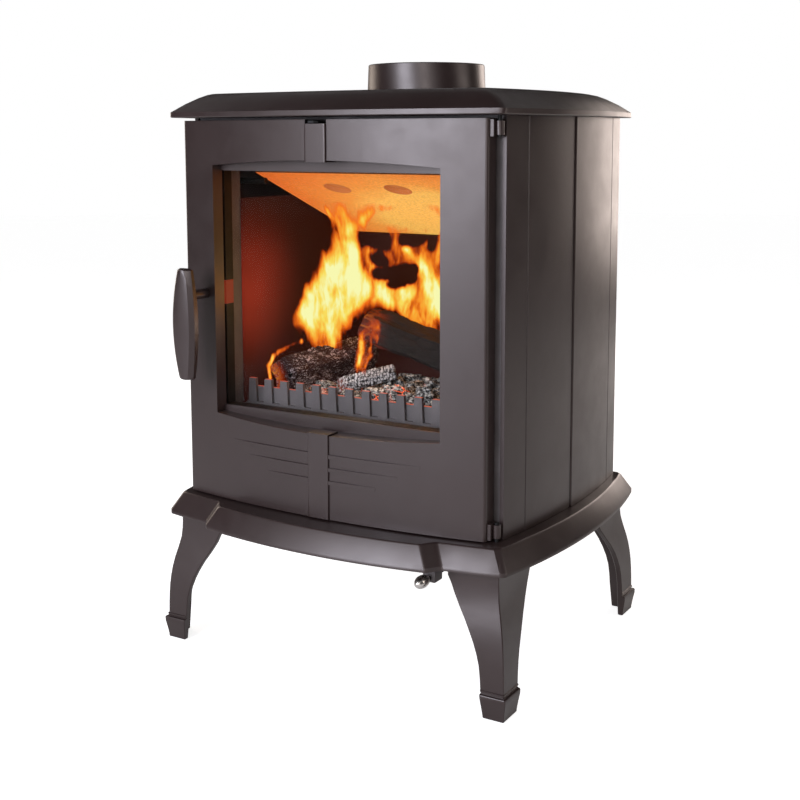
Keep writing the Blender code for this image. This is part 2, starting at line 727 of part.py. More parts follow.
def make_leg(side, end, name):
    """An angle-section leg, cut away in a curve, with a moulded cuff above its foot and a bolting pad inside its top."""
    top = LEG_HEIGHT - SEAT_GAP
    first = LEG_SECTIONS[0]
    ankle = LEG_SECTIONS[-1]
    rings = [leg_section(side, end, top, first[1], first[2], first[3], 0.0)]
    stretch = (LEG_HEIGHT - ankle[0]) / (LEG_DRAWN_HEIGHT - ankle[0])
    for z, splay, front, sideways in LEG_SECTIONS:
        height = ankle[0] + (z - ankle[0]) * stretch
        rings.append(leg_section(side, end, height, splay, front, sideways, 0.0))
    for z, proud in FOOT_SECTIONS:
        splay = FOOT_SPLAY + (ankle[1] - FOOT_SPLAY) * z / ankle[0]
        narrow = 0.003 * (1 - z / ankle[0])
        rings.append(leg_section(side, end, z, splay, ankle[2] - narrow, ankle[3] - narrow, proud))
    leg = loft(name, rings, smooth=True)
    edge = leg.modifiers.new("rounded_edges", "BEVEL")
    edge.width = LEG_EDGE
    edge.segments = 1
    edge.limit_method = "ANGLE"
    edge.angle_limit = math.radians(70)
    x, y = bolt_places()[side, end]
    corner_x = side * (BASE_HALF_WIDTH - LEG_INSET_X)
    corner_y = LEG_Y[end]
    xs = sorted((corner_x - side * LEG_WALL / 2, corner_x - side * LEG_PAD))
    ys = sorted((corner_y - end * LEG_WALL / 2, corner_y - end * LEG_PAD))
    pad = box(name + "_pad", (xs[0], ys[0], top - LEG_PAD_THICK), (xs[1], ys[1], top - 0.0002), cutter=True)
    join(leg, pad)
    cut(leg, rod(name + "_bolt_hole", BOLT_RADIUS + RUN_GAP, (x, y, top), 4 * LEG_PAD_THICK, cutter=True, steps=12))
    paint(leg, "satin_iron")
    return leg


def make_leg_bolt(side, end, name):
    """A hexagon bolt, up through the leg's pad into the base."""
    x, y = bolt_places()[side, end]
    seat = LEG_HEIGHT - SEAT_GAP - LEG_PAD_THICK - SEAT_GAP
    profile = [(0, 0.020), (BOLT_RADIUS, 0.020), (BOLT_RADIUS, -0.001), (0, -0.001)]
    bolt = turned(name, profile, (x, y, seat), steps=12)
    bm = bmesh.new()
    bmesh.ops.create_cone(bm, cap_ends=True, segments=6, radius1=BOLT_HEAD_RADIUS, radius2=BOLT_HEAD_RADIUS,
                          depth=BOLT_HEAD_HEIGHT)
    head = from_bmesh(name + "_head", bm, cutter=True)
    head.location = (x, y, seat - BOLT_HEAD_HEIGHT / 2)
    join(bolt, head)
    paint(bolt, "black_steel")
    return bolt


def make_top():
    """The dished top casting: a vertical lip, a domed bevel and a flat plate with the flue hole."""
    lip_top = BODY_TOP + TOP_LIP_HEIGHT
    steps = ((0.0, 0.0), (0.31, 0.44), (0.60, 0.76), (0.80, 0.93), (0.92, 0.985), (1.0, 1.0))
    rings = [ring(mirrored(top_half(0.001)), BODY_TOP), ring(mirrored(top_half(0.0)), BODY_TOP + 0.001)]
    for across, up in steps:
        rings.append(ring(mirrored(top_half(TOP_BEVEL_WIDTH * across)), lip_top + TOP_BEVEL_HEIGHT * up))
    top = loft("top_plate", rings, smooth=True)
    hollow = box("top_hollow", (-FRAME_HALF_WIDTH + 0.012, FRAME_Y + 0.016, BODY_TOP - 0.01),
                 (FRAME_HALF_WIDTH - 0.012, BODY_REAR - 0.018, TOP_SURFACE - TOP_SKIN), cutter=True)
    bosses = []
    for x, y in rod_places().values():
        bosses.append(box(f"top_boss_{x:.3f}_{y:.3f}", (x - 0.009, y - 0.009, BODY_TOP - 0.02),
                          (x + 0.009, y + 0.009, TOP_SURFACE - TOP_SKIN / 2), cutter=True))
    cut(hollow, *bosses)
    flue = rod("top_flue_hole", FLUE_HOLE_RADIUS + SEAT_GAP, (0, COLLAR_Y, TOP_SURFACE), 0.05, cutter=True, steps=TURN_STEPS)
    cut(top, hollow, flue, pin_hole("top_pin_hole", BODY_TOP - 0.01, BODY_TOP + PIN_ENGAGE + SEAT_GAP))
    paint(top, "satin_iron")
    return top


def make_collar():
    """The flue collar: a slightly tapered ring, seated on the top with a spigot in its hole."""
    seat = SEAT_GAP
    profile = [
        (COLLAR_TOP_RADIUS - 0.001, COLLAR_HEIGHT),
        (COLLAR_TOP_RADIUS, COLLAR_HEIGHT - 0.001),
        (COLLAR_FOOT_RADIUS, seat),
        (FLUE_HOLE_RADIUS, seat),
        (FLUE_HOLE_RADIUS, -SPIGOT_DEPTH),
        (SPIGOT_BORE, -SPIGOT_DEPTH),
        (SPIGOT_BORE, seat + 0.006),
        (COLLAR_BORE, seat + 0.010),
        (COLLAR_BORE, COLLAR_HEIGHT - 0.001),
        (COLLAR_BORE + 0.001, COLLAR_HEIGHT),
    ]
    collar = turned("flue_collar", profile, (0, COLLAR_Y, TOP_SURFACE), closed=True)
    paint(collar, "satin_iron")
    return collar


# Body castings


def rod_places():
    """The corners where the tie rods stand, by side and end."""
    places = {}
    for side in (-1, 1):
        places[side, -1] = (side * ROD_X, ROD_FRONT_Y)
        places[side, 1] = (side * ROD_X, ROD_REAR_Y)
    return places


def panel_x(y):
    """Outer face of the side panels."""
    middle = BODY_FRONT + BODY_DEPTH / 2
    return PANEL_HALF_WIDTH + bow(y - middle, BODY_DEPTH / 2, PANEL_BOW)


def make_side_panel(side, name, low, high, line_y, sunk):
    """Half of a side: a bowed plate with one upright line. The rear plate stands proud of the front one, behind a slot."""
    steps = 12
    outer = []
    for i in range(steps + 1):
        y = low + (high - low) * i / steps
        outer.append((panel_x(y) - sunk, y))
    detail = []
    edge = GROOVE_WIDTH / 2
    for x, y in outer:
        if detail and detail[-1][1] < line_y - edge <= y and y > line_y:
            detail += [
                (panel_x(line_y - edge) - sunk, line_y - edge),
                (panel_x(line_y) - sunk - GROOVE_DEPTH, line_y - edge * 0.4),
                (panel_x(line_y) - sunk - GROOVE_DEPTH, line_y + edge * 0.4),
                (panel_x(line_y + edge) - sunk, line_y + edge),
            ]
        if abs(y - line_y) > 2 * edge:
            detail.append((x, y))
    if sunk:
        slot_x = panel_x(high) - sunk - GROOVE_DEPTH
        detail[-1:] = [(panel_x(high - PANEL_SLOT) - sunk, high - PANEL_SLOT),
                       (slot_x, high - PANEL_SLOT * 0.7), (slot_x, high)]
    else:
        detail[:1] = [(panel_x(low) - PANEL_STEP, low), (panel_x(low + PANEL_STEP), low + PANEL_STEP)]
    inner = [(x - PANEL_THICK + sunk, y) for x, y in reversed(outer[::3])]
    outline = [(side * x, y) for x, y in detail + inner]
    panel = flat_shape(name, [outline], BASE_TOP + SEAT_GAP, BODY_TOP - SEAT_GAP)
    paint(panel, "satin_iron")
    return panel


def make_back_panel():
    """A flat casting between the two sides, with a low raised border on its outer face."""
    half = PANEL_HALF_WIDTH - PANEL_THICK - 0.001
    low = BASE_TOP + SEAT_GAP
    high = BODY_TOP - SEAT_GAP
    back = box("back_panel", (-half, BODY_REAR - 0.009, low), (half, BODY_REAR - 0.002, high))
    border = flat_shape("back_border", [rectangle(-half + 0.004, low + 0.004, half - 0.004, high - 0.004),
                                        rectangle(-half + 0.026, low + 0.026, half - 0.026, high - 0.026)],
                        BODY_REAR - 0.004, BODY_REAR, plane="XZ", cutter=True)
    join(back, border)
    paint(back, "satin_iron")
    return back


def make_front_frame():
    """The frame that the door closes on: a plate with two openings and a return round the upper one."""
    low = BASE_TOP + SEAT_GAP
    high = BODY_TOP - SEAT_GAP
    half = FRAME_OPENING_HALF
    outlines = [
        rectangle(-FRAME_HALF_WIDTH, low, FRAME_HALF_WIDTH, high),
        rectangle(-half, FRAME_OPENING_BOTTOM, half, FRAME_OPENING_TOP),
        rectangle(-ASH_OPENING_HALF, ASH_OPENING_BOTTOM, ASH_OPENING_HALF, ASH_OPENING_TOP),
        rectangle(TAB_LEFT - 0.002, TAB_Z - 0.001, TAB_LEFT + TAB_WIDTH + TAB_TRAVEL + 0.002, TAB_Z + TAB_THICK + 0.001),
    ]
    frame = flat_shape("front_frame", outlines, FRAME_Y, FRAME_Y + FRAME_THICK, plane="XZ")
    wall = FRAME_RETURN_THICK
    returned = flat_shape("frame_return", [
        rectangle(-half - wall, FRAME_OPENING_BOTTOM + 0.0005, half + wall, FRAME_OPENING_TOP + wall),
        rectangle(-half, FRAME_OPENING_BOTTOM - 0.01, half, FRAME_OPENING_TOP),
    ][:1], FRAME_Y + FRAME_THICK / 2, FRAME_RETURN_Y, plane="XZ", cutter=True)
    inner = box("frame_return_inner", (-half, FRAME_Y - 0.01, FRAME_OPENING_BOTTOM - 0.02),
                (half, FRAME_RETURN_Y + 0.01, FRAME_OPENING_TOP), cutter=True)
    cut(returned, inner)
    join(frame, returned)
    latch = box("latch_pocket", (HANDLE_X - CAM_REACH - 0.0025, FRAME_Y - 0.01, HANDLE_Z - 0.010),
                (-half + 0.01, FRAME_Y + 0.0070, HANDLE_Z + CAM_REACH + 0.0025), cutter=True)
    cut(frame, latch, *wash_slot_cutters("frame_slot", 0.0))
    paint(frame, "raw_iron")
    return frame


def wash_slots():
    """Centres of the air slots in the frame, either side of the tab."""
    offsets = [WASH_SLOT_PITCH * (i + 0.75) for i in range(WASH_SLOT_PAIRS)]
    return [DOOR_MID - o for o in reversed(offsets)] + [DOOR_MID + o for o in offsets]


def wash_slot_cutters(name, shift):
    """Box cutters for the air slots, moved sideways by shift."""
    half = WASH_SLOT_WIDTH / 2
    return [box(f"{name}_{i}", (x + shift - half, FRAME_Y - 0.01, WASH_SLOT_Z),
                (x + shift + half, FRAME_Y + 0.03, WASH_SLOT_Z + WASH_SLOT_HEIGHT), cutter=True)
            for i, x in enumerate(wash_slots())]


def make_tie_rod(side, end, name):
    x, y = rod_places()[side, end]
    low = BASE_TOP + SEAT_GAP
    high = BODY_TOP - SEAT_GAP
    tie = rod(name, ROD_RADIUS, (x, y, (low + high) / 2), high - low, steps=12)
    paint(tie, "black_steel")
    return tie


# Door


def make_door():
    """The bowed door casting: skin, flanges, window with its reveal, rib, relief bars, hinge knuckles and spindle boss."""
    door = flat_shape("door_casting", [bowed_plan(DOOR_LEFT, DOOR_RIGHT, 0.0, DOOR_BACK, DOOR_EDGE_RADIUS)], DOOR_BOTTOM, DOOR_TOP)
    rounding = door.modifiers.new("rounded_edges", "BEVEL")
    rounding.width = 0.001
    rounding.segments = 1
    rounding.angle_limit = math.radians(60)
    rounding.limit_method = "ANGLE"
    rib = flat_shape("door_rib", [bowed_plan(DOOR_MID - RIB_WIDTH / 2, DOOR_MID + RIB_WIDTH / 2, -RIB_PROUD, CHORD_Y, RIB_EDGE_RADIUS)],
                     DOOR_BOTTOM + 0.0005, DOOR_TOP - 0.0005, cutter=True)
    window_cut = make_window_cutter()
    rib_window = flat_shape("rib_window", [window_outline(RIB_LAP)], CHORD_Y - 0.05, CHORD_Y + 0.05, plane="XZ", cutter=True)
    cut(rib, rib_window)
    cut(door, window_cut)
    pocket = flat_shape("door_pocket", [bowed_plan(DOOR_LEFT + DOOR_FLANGE, DOOR_RIGHT - DOOR_FLANGE, DOOR_SKIN, DOOR_BACK + 0.02)],
                        DOOR_BOTTOM + DOOR_FLANGE_BOTTOM, DOOR_TOP - DOOR_FLANGE_TOP, cutter=True)
    half = WINDOW_HALF + GLASS_OVERLAP + SURROUND_WALL
    surround = box("door_surround", (WINDOW_MID - half, CHORD_Y - 0.05, WINDOW_BOTTOM - WINDOW_ARCH - SURROUND_WALL),
                   (WINDOW_MID + half, CHORD_Y + 0.05, WINDOW_TOP + WINDOW_ARCH + SURROUND_WALL), cutter=True)
    boss_y = (CHORD_Y + DOOR_BACK) / 2
    boss = rod("door_boss", BOSS_RADIUS, (HANDLE_X, boss_y, HANDLE_Z), 0.06, axis="Y", cutter=True, steps=20)
    cut(pocket, surround, boss)
    cut(door, pocket)
    opening = box("glass_opening", (WINDOW_MID - WINDOW_HALF, CHORD_Y - 0.05, GLASS_OPENING_BOTTOM),
                  (WINDOW_MID + WINDOW_HALF, DOOR_BACK + 0.01, GLASS_OPENING_TOP), cutter=True)
    half = WINDOW_HALF + GLASS_OVERLAP
    rebate = box("glass_rebate", (WINDOW_MID - half, GLASS_SEAT_Y, GLASS_OPENING_BOTTOM - GLASS_OVERLAP),
                 (WINDOW_MID + half, DOOR_BACK + 0.01, GLASS_OPENING_TOP + GLASS_OVERLAP), cutter=True)
    cut(door, opening, rebate)
    join(door, rib, make_bars())
    for low in KNUCKLE_LEVELS:
        join(door, make_knuckle(low))
    cut(door, make_notch())
    cut(door, pin_hole("knuckle_bores", DOOR_BOTTOM - 0.01, DOOR_TOP + 0.01))
    cut(door, rod("spindle_bore", SPINDLE_RADIUS + RUN_GAP, (HANDLE_X, boss_y, HANDLE_Z), 0.09, axis="Y", cutter=True, steps=20))
    paint(door, "satin_iron")
    return door


def window_outline(lap):
    """The window in elevation: straight sides, an arched head and a sagging sill, narrowed by lap above and below."""
    head = [(x + WINDOW_MID, WINDOW_TOP - lap + p) for x, p in arc(WINDOW_HALF, -WINDOW_HALF, WINDOW_HALF, WINDOW_ARCH)]
    sill = [(x + WINDOW_MID, WINDOW_BOTTOM + lap - p) for x, p in arc(-WINDOW_HALF, WINDOW_HALF, WINDOW_HALF, WINDOW_ARCH)]
    return sill + head


def make_window_cutter():
    return flat_shape("window_reveal", [window_outline(0.0)], CHORD_Y - 0.05, GLASS_LIP_Y, plane="XZ", cutter=True)


def make_bars():
    """Three pairs of low bars beside the rib, which fade into the face at their outer ends."""
    bm = bmesh.new()
    sections = 8
    for row, reach in enumerate(BAR_REACHES):
        top = BAR_TOP_Z - row * BAR_PITCH
        for side in (-1, 1):
            rows = []
            for i in range(sections + 1):
                out = RIB_WIDTH / 2 - 0.002 + (reach - RIB_WIDTH / 2 + 0.002) * i / sections
                fade = min(1.0, (reach - out) / BAR_FADE)
                proud = 0.0002 + (BAR_PROUD - 0.0002) * fade
                x = DOOR_MID + side * out
                y = face_y(x)
                corners = ((y - proud, top - BAR_HEIGHT + 0.0006), (y - proud, top - 0.0006), (y + 0.003, top), (y + 0.003, top - BAR_HEIGHT))
                rows.append([bm.verts.new((x, cy, cz)) for cy, cz in corners])
            for first, second in zip(rows, rows[1:]):
                for i in range(4):
                    j = (i + 1) % 4
                    bm.faces.new((first[i], first[j], second[j], second[i]))
            bm.faces.new(rows[0])
            bm.faces.new(rows[-1])
    return from_bmesh("door_bars", bm, cutter=True)


def make_knuckle(low):
    """A hinge knuckle round the pin, with the lug that carries it on the door's edge."""
    name = f"door_knuckle_{low:.2f}"
    knuckle = rod(name, KNUCKLE_RADIUS, (HINGE_X, HINGE_Y, low + KNUCKLE_HEIGHT / 2), KNUCKLE_HEIGHT, cutter=True, steps=20)
    lug = box(name + "_lug", (DOOR_RIGHT - 0.004, HINGE_Y - LUG_REACH, low - 0.0015),
              (DOOR_RIGHT + LUG_WIDTH, HINGE_Y + KNUCKLE_RADIUS, low + KNUCKLE_HEIGHT + 0.0015), cutter=True)
    web = box(name + "_web", (DOOR_RIGHT, HINGE_Y - KNUCKLE_RADIUS * 0.7, low + 0.0005),
              (HINGE_X, HINGE_Y + KNUCKLE_RADIUS * 0.7, low + KNUCKLE_HEIGHT - 0.0005), cutter=True)
    join(knuckle, web)
    return join(knuckle, lug)


def make_notch():
    """The cut in the rib's top that clears the air wash tab, flared behind so that the door swings past it."""
    left = DOOR_MID - RIB_WIDTH / 2
    right = DOOR_MID + RIB_WIDTH / 2
    front = CHORD_Y - DOOR_BOW - RIB_PROUD - 0.001
    skin = front + DOOR_SKIN + 0.004
    outline = [(left, front - 0.01), (right, front - 0.01), (right, DOOR_BACK + 0.01),
               (left - NOTCH_FLARE, DOOR_BACK + 0.01), (left - NOTCH_FLARE * 0.3, skin), (left, front + 0.003)]
    return flat_shape("door_notch", [outline], DOOR_TOP - NOTCH_DEPTH, DOOR_TOP + 0.01, cutter=True)


def make_glass():
    margin = GLASS_OVERLAP - 0.0005
    low_z = GLASS_OPENING_BOTTOM - margin
    high_z = GLASS_OPENING_TOP + margin
    half = WINDOW_HALF + margin
    glass = box("door_glass", (WINDOW_MID - half, GLASS_SEAT_Y + SEAT_GAP, low_z),
                (WINDOW_MID + half, GLASS_SEAT_Y + SEAT_GAP + GLASS_THICK, high_z))
    paint(glass, "glass")
    return glass


def make_retainers():
    """Steel strips that hold the glass in its rebate, split on the latch side, where a guard plate sits."""
    front = GLASS_SEAT_Y + 2 * SEAT_GAP + GLASS_THICK
    back = RETAINER_REAR_Y
    half = WINDOW_HALF + GLASS_OVERLAP - SEAT_GAP
    low = GLASS_OPENING_BOTTOM - GLASS_OVERLAP + SEAT_GAP
    high = GLASS_OPENING_TOP + GLASS_OVERLAP - SEAT_GAP
    left = WINDOW_MID - half
    right = WINDOW_MID + half
    inner_low = low + RETAINER_WIDTH + SEAT_GAP
    inner_high = high - RETAINER_WIDTH - SEAT_GAP
    guard = 0.0145
    pieces = [
        box("glass_retainer_bottom", (left, front, low), (right, back, low + RETAINER_WIDTH)),
        box("glass_retainer_top", (left, front, high - RETAINER_WIDTH), (right, back, high)),
        box("glass_retainer_right", (right - RETAINER_WIDTH, front, inner_low), (right, back, inner_high)),
        box("glass_retainer_left_lower", (left, front, inner_low), (left + RETAINER_WIDTH, back, HANDLE_Z - guard - SEAT_GAP)),
        box("glass_retainer_left_upper", (left, front, HANDLE_Z + guard + SEAT_GAP), (left + RETAINER_WIDTH, back, inner_high)),
        box("latch_guard", (left, front, HANDLE_Z - guard), (left + RETAINER_WIDTH, back, HANDLE_Z + guard)),
    ]
    for piece in pieces:
        paint(piece, "black_steel")
    return pieces


def make_door_rope():
    """The flat sealing rope on the back of the door's flange."""
    x0 = DOOR_LEFT + ROPE_INSET
    x1 = DOOR_RIGHT - ROPE_INSET
    z0 = DOOR_BOTTOM + 0.0085
    z1 = DOOR_TOP - DOOR_FLANGE_TOP + 0.0085
    w = ROPE_WIDTH
    outlines = [rectangle(x0, z0, x1, z1), rectangle(x0 + w, z0 + w, x1 - w, z1 - w)]
    rope = flat_shape("door_rope", outlines, DOOR_BACK + SEAT_GAP, FRAME_Y - SEAT_GAP, plane="XZ")
    paint(rope, "rope")
    return rope


def make_hinge_pin(name, low, high):
    pin = rod(name, PIN_RADIUS, (HINGE_X, HINGE_Y, (low + high) / 2), high - low, steps=16)
    paint(pin, "bright_steel")
    return pin


# Handle and latch


def make_handle():
    """The lens-shaped grip, chamfered towards the front, with its post turned in one piece with it."""
    top = HANDLE_Z + HANDLE_ABOVE
    rings = []
    count = 12
    end = HANDLE_END_ROUND / HANDLE_LENGTH
    for t in [0.0, end * 0.35, end] + [i / count for i in range(1, count)] + [1 - end, 1 - end * 0.35, 1.0]:
        near = min(t, 1 - t) * HANDLE_LENGTH
        shrink = HANDLE_END_ROUND * max(0.0, 1 - near / HANDLE_END_ROUND) ** 2
        half = HANDLE_WIDTH / 2 * (0.60 + 0.40 * (1 - (2 * t - 1.02) ** 2)) - shrink
        front = HANDLE_FRONT_Y + 0.003 * (2 * t - 1) ** 2 + shrink
        back = HANDLE_BACK_Y - shrink
        side = front + HANDLE_CHAMFER
        flat = half - HANDLE_CHAMFER
        section = [(-flat, front), (0, front - 0.0012), (flat, front), (half, side), (half, back - 0.0025), (half - 0.0025, back),
                   (-half + 0.0025, back), (-half, back - 0.0025), (-half, side)]
        rings.append([(HANDLE_X + x, y, top - HANDLE_LENGTH * t) for x, y in section])
    grip = loft("door_handle", rings, smooth=True)
    post_end = face_y(HANDLE_X + POST_RADIUS) - 0.0006
    start = HANDLE_BACK_Y - 0.003
    post = rod("handle_post", POST_RADIUS, (HANDLE_X, (start + post_end) / 2, HANDLE_Z), post_end - start, axis="Y", cutter=True)
    socket_y = HANDLE_BACK_Y - 0.004
    socket = rod("handle_socket", SPINDLE_RADIUS + SEAT_GAP, (HANDLE_X, (socket_y + CHORD_Y) / 2, HANDLE_Z), CHORD_Y - socket_y,
                 axis="Y", cutter=True)
    join(grip, post)
    cut(grip, socket)
    paint(grip, "satin_iron")
    return grip


def make_spindle():
    """The bar from the handle's post through the door to the latch, with a head that holds the cam."""
    start = HANDLE_BACK_Y - 0.004 + SEAT_GAP
    end = DOOR_BACK + 2 * SEAT_GAP + CAM_THICK + 0.0028
    spindle = rod("handle_spindle", SPINDLE_RADIUS, (HANDLE_X, (start + end) / 2, HANDLE_Z), end - start, axis="Y")
    head = rod("spindle_head", SPINDLE_RADIUS + 0.0022, (HANDLE_X, end - 0.0012, HANDLE_Z), 0.0024, axis="Y", cutter=True)
    join(spindle, head)
    paint(spindle, "black_steel")
    return spindle


def make_cam():
    """The latch tongue on the spindle's end."""
    reach = CAM_REACH
    outline = [(HANDLE_X + 0.0065 * math.cos(a), HANDLE_Z + 0.0065 * math.sin(a))
               for a in [math.radians(-90 + 180 * i / 8) for i in range(9)]]
    outline += [(HANDLE_X - reach + 0.003, HANDLE_Z + 0.005), (HANDLE_X - reach, HANDLE_Z + 0.003),
                (HANDLE_X - reach, HANDLE_Z - 0.003), (HANDLE_X - reach + 0.003, HANDLE_Z - 0.005)]
    radius = SPINDLE_RADIUS + SEAT_GAP
    hole = [(HANDLE_X + radius * math.cos(a), HANDLE_Z + radius * math.sin(a))
            for a in [2 * math.pi * i / 20 for i in range(20)]]
    low = DOOR_BACK + SEAT_GAP
    cam = flat_shape("latch_cam", [outline, hole], low, low + CAM_THICK, plane="XZ")
    paint(cam, "black_steel")
    return cam


# Air controls


def make_wash_slider():
    """The air wash slider: a slotted plate behind the frame and a tab that reaches out through the door's notch."""
    y = FRAME_Y + FRAME_THICK + SEAT_GAP
    low = TAB_Z + TAB_THICK - WASH_PLATE_HEIGHT
    slider = box("air_wash_slider", (DOOR_MID - WASH_PLATE_HALF, y, low),
                 (DOOR_MID + WASH_PLATE_HALF - TAB_TRAVEL, y + WASH_PLATE_THICK, TAB_Z + TAB_THICK))
    cut(slider, *wash_slot_cutters("slider_slot", -TAB_TRAVEL))
    rear = y + WASH_PLATE_THICK / 2
    tip = 0.004
    right = TAB_LEFT + TAB_WIDTH
    plan = [(TAB_LEFT, rear), (TAB_LEFT, TAB_FRONT_Y + tip), (TAB_LEFT + tip, TAB_FRONT_Y),
            (right - tip, TAB_FRONT_Y), (right, TAB_FRONT_Y + tip), (right, rear)]
    tab = flat_shape("wash_tab", [plan], TAB_Z, TAB_Z + TAB_THICK - 0.0002, cutter=True)
    join(slider, tab)
    paint(slider, "bright_steel")
    return slider


def make_air_knob():
    """The egg-shaped pull knob."""
    profile = []
    steps = 10
    for i in range(steps + 1):
        angle = math.pi * i / steps
        swell = 1 + 0.10 * math.cos(angle)
        profile.append((max(0.0, math.sin(angle)) * swell if 0 < i < steps else 0.0, math.cos(angle)))
    knob = turned("air_knob", profile, (KNOB_X, KNOB_Y, KNOB_Z), axis="Y", steps=20)
    for vertex in knob.data.vertices:
        vertex.co = (vertex.co.x * KNOB_HALF_X / 1.07, 0.0, vertex.co.z * KNOB_HALF_Y)
    socket = box("knob_socket", (KNOB_X - 0.003 - SEAT_GAP, KNOB_Y + 0.006, KNOB_Z - STRIP_THICK / 2 - SEAT_GAP),
                 (KNOB_X + 0.003 + SEAT_GAP, KNOB_Y + 0.03, KNOB_Z + STRIP_THICK / 2 + SEAT_GAP), cutter=True)
    cut(knob, socket)
    paint(knob, "bright_steel")
    return knob


def make_air_slider():
    """A bent strip: from the knob through the guide, up inside the base and into the plate that covers the inlet."""
    tail = KNOB_Y + 0.006 + SEAT_GAP
    low = KNOB_Z - STRIP_THICK / 2
    high = BASE_TOP - BASE_SKIN - SEAT_GAP
    plate_low = high - AIR_PLATE_THICK
    rise = STRIP_RISE_Y
    profile = [(tail, low), (rise, low), (rise, plate_low), (rise + 0.012, plate_low), (rise + 0.012, high),
               (rise - STRIP_THICK, high), (rise - STRIP_THICK, low + STRIP_THICK), (tail, low + STRIP_THICK)]
    strip = flat_shape("air_slider", [profile], KNOB_X - 0.003, KNOB_X + 0.003, plane="YZ")
    right = KNOB_X + STRIP_WIDTH / 2
    plate = box("air_plate", (AIR_PLATE_LEFT, rise - STRIP_THICK, plate_low), (right, AIR_PLATE_REAR_Y, high - 0.0001), cutter=True)
    join(strip, plate)
    paint(strip, "black_steel")
    return strip


def make_air_guide():
    """The small block under the base that the strip slides through."""
    top = BASE_BOTTOM - SEAT_GAP
    half = GUIDE_WIDTH / 2
    rear = GUIDE_FRONT_Y + GUIDE_DEPTH
    guide = box("air_guide", (KNOB_X - half, GUIDE_FRONT_Y, GUIDE_BOTTOM), (KNOB_X + half, rear, top), edge=0.0015)
    slot = box("air_guide_slot", (KNOB_X - 0.003 - RUN_GAP, GUIDE_FRONT_Y - 0.01, KNOB_Z - STRIP_THICK / 2 - RUN_GAP),
               (KNOB_X + 0.003 + RUN_GAP, rear + 0.01, KNOB_Z + STRIP_THICK / 2 + RUN_GAP), cutter=True)
    cut(guide, slot)
    paint(guide, "raw_iron")
    return guide


def make_air_strap():
    """The strap that carries the air plate against the underside of the base's skin."""
    top = BASE_TOP - BASE_SKIN - SEAT_GAP
    plate_low = top - AIR_PLATE_THICK
    floor = plate_low - RUN_GAP
    left = AIR_PLATE_LEFT - RUN_GAP
    right = KNOB_X + STRIP_WIDTH / 2 + RUN_GAP
    wall = 0.004
    outline = [(left - wall, top), (left - wall, floor - STRAP_THICK), (right + wall, floor - STRAP_THICK), (right + wall, top),
               (right, top), (right, floor), (left, floor), (left, top)]
    strap = flat_shape("air_plate_strap", [outline], STRAP_Y, STRAP_Y + STRAP_DEPTH, plane="XZ")
    paint(strap, "black_steel")
    return strap


# Firebox


def make_firebox_floor():
    """The floor casting with its grate opening and the two walls of the ash chamber below it."""
    front = FRAME_Y + FRAME_THICK + 0.001
    rear = LINER_BACK_Y + BACK_LINER_THICK + 0.004
    y = GRATE_Y
    through = rectangle(-GRATE_HALF_X + GRATE_LEDGE, y - GRATE_HALF_Y + GRATE_LEDGE, GRATE_HALF_X - GRATE_LEDGE, y + GRATE_HALF_Y - GRATE_LEDGE)
    floor = flat_shape("firebox_floor", [rectangle(-FLOOR_HALF, front, FLOOR_HALF, rear), through], FLOOR_TOP - FLOOR_THICK, FLOOR_TOP)
    seat = box("grate_seat", (-GRATE_HALF_X - SEAT_GAP, y - GRATE_HALF_Y - SEAT_GAP, FLOOR_TOP - GRATE_THICK - SEAT_GAP),
               (GRATE_HALF_X + SEAT_GAP, y + GRATE_HALF_Y + SEAT_GAP, FLOOR_TOP + 0.01), cutter=True)
    cut(floor, seat)
    for side in (-1, 1):
        xs = sorted((side * ASH_WALL_HALF, side * (ASH_WALL_HALF - 0.006)))
        wall = box(f"ash_wall_{side}", (xs[0], front + 0.001, BASE_TOP + SEAT_GAP), (xs[1], rear - 0.002, FLOOR_TOP - FLOOR_THICK / 2), cutter=True)
        join(floor, wall)
    for side in (-1, 1):
        for end, y_rod in ((-1, ROD_FRONT_Y), (1, ROD_REAR_Y)):
            if y_rod - ROD_RADIUS < rear:
                cut(floor, box(f"floor_rod_gap_{side}_{end}", (side * ROD_X - 0.006, y_rod - 0.006, FLOOR_TOP - 0.02),
                               (side * ROD_X + 0.006, y_rod + 0.006, FLOOR_TOP + 0.02), cutter=True))
    paint(floor, "raw_iron")
    return floor


def make_grate():
    """The slotted grate in the floor."""
    y = GRATE_Y
    outlines = [rectangle(-GRATE_HALF_X, y - GRATE_HALF_Y, GRATE_HALF_X, y + GRATE_HALF_Y)]
    pitch = 2 * GRATE_HALF_X / (GRATE_SLOTS + 0.5)
    for i in range(GRATE_SLOTS):
        x = (i - (GRATE_SLOTS - 1) / 2) * pitch
        reach = GRATE_HALF_Y - 0.014
        half = GRATE_SLOT_WIDTH / 2
        ends = [(x + half, y + reach), (x + half * 0.5, y + reach + half), (x - half * 0.5, y + reach + half), (x - half, y + reach)]
        outlines.append(ends + [(2 * x - u, 2 * y - v) for u, v in ends])
    grate = flat_shape("grate", outlines, FLOOR_TOP - GRATE_THICK, FLOOR_TOP - 0.0002)
    paint(grate, "raw_iron")
    return grate


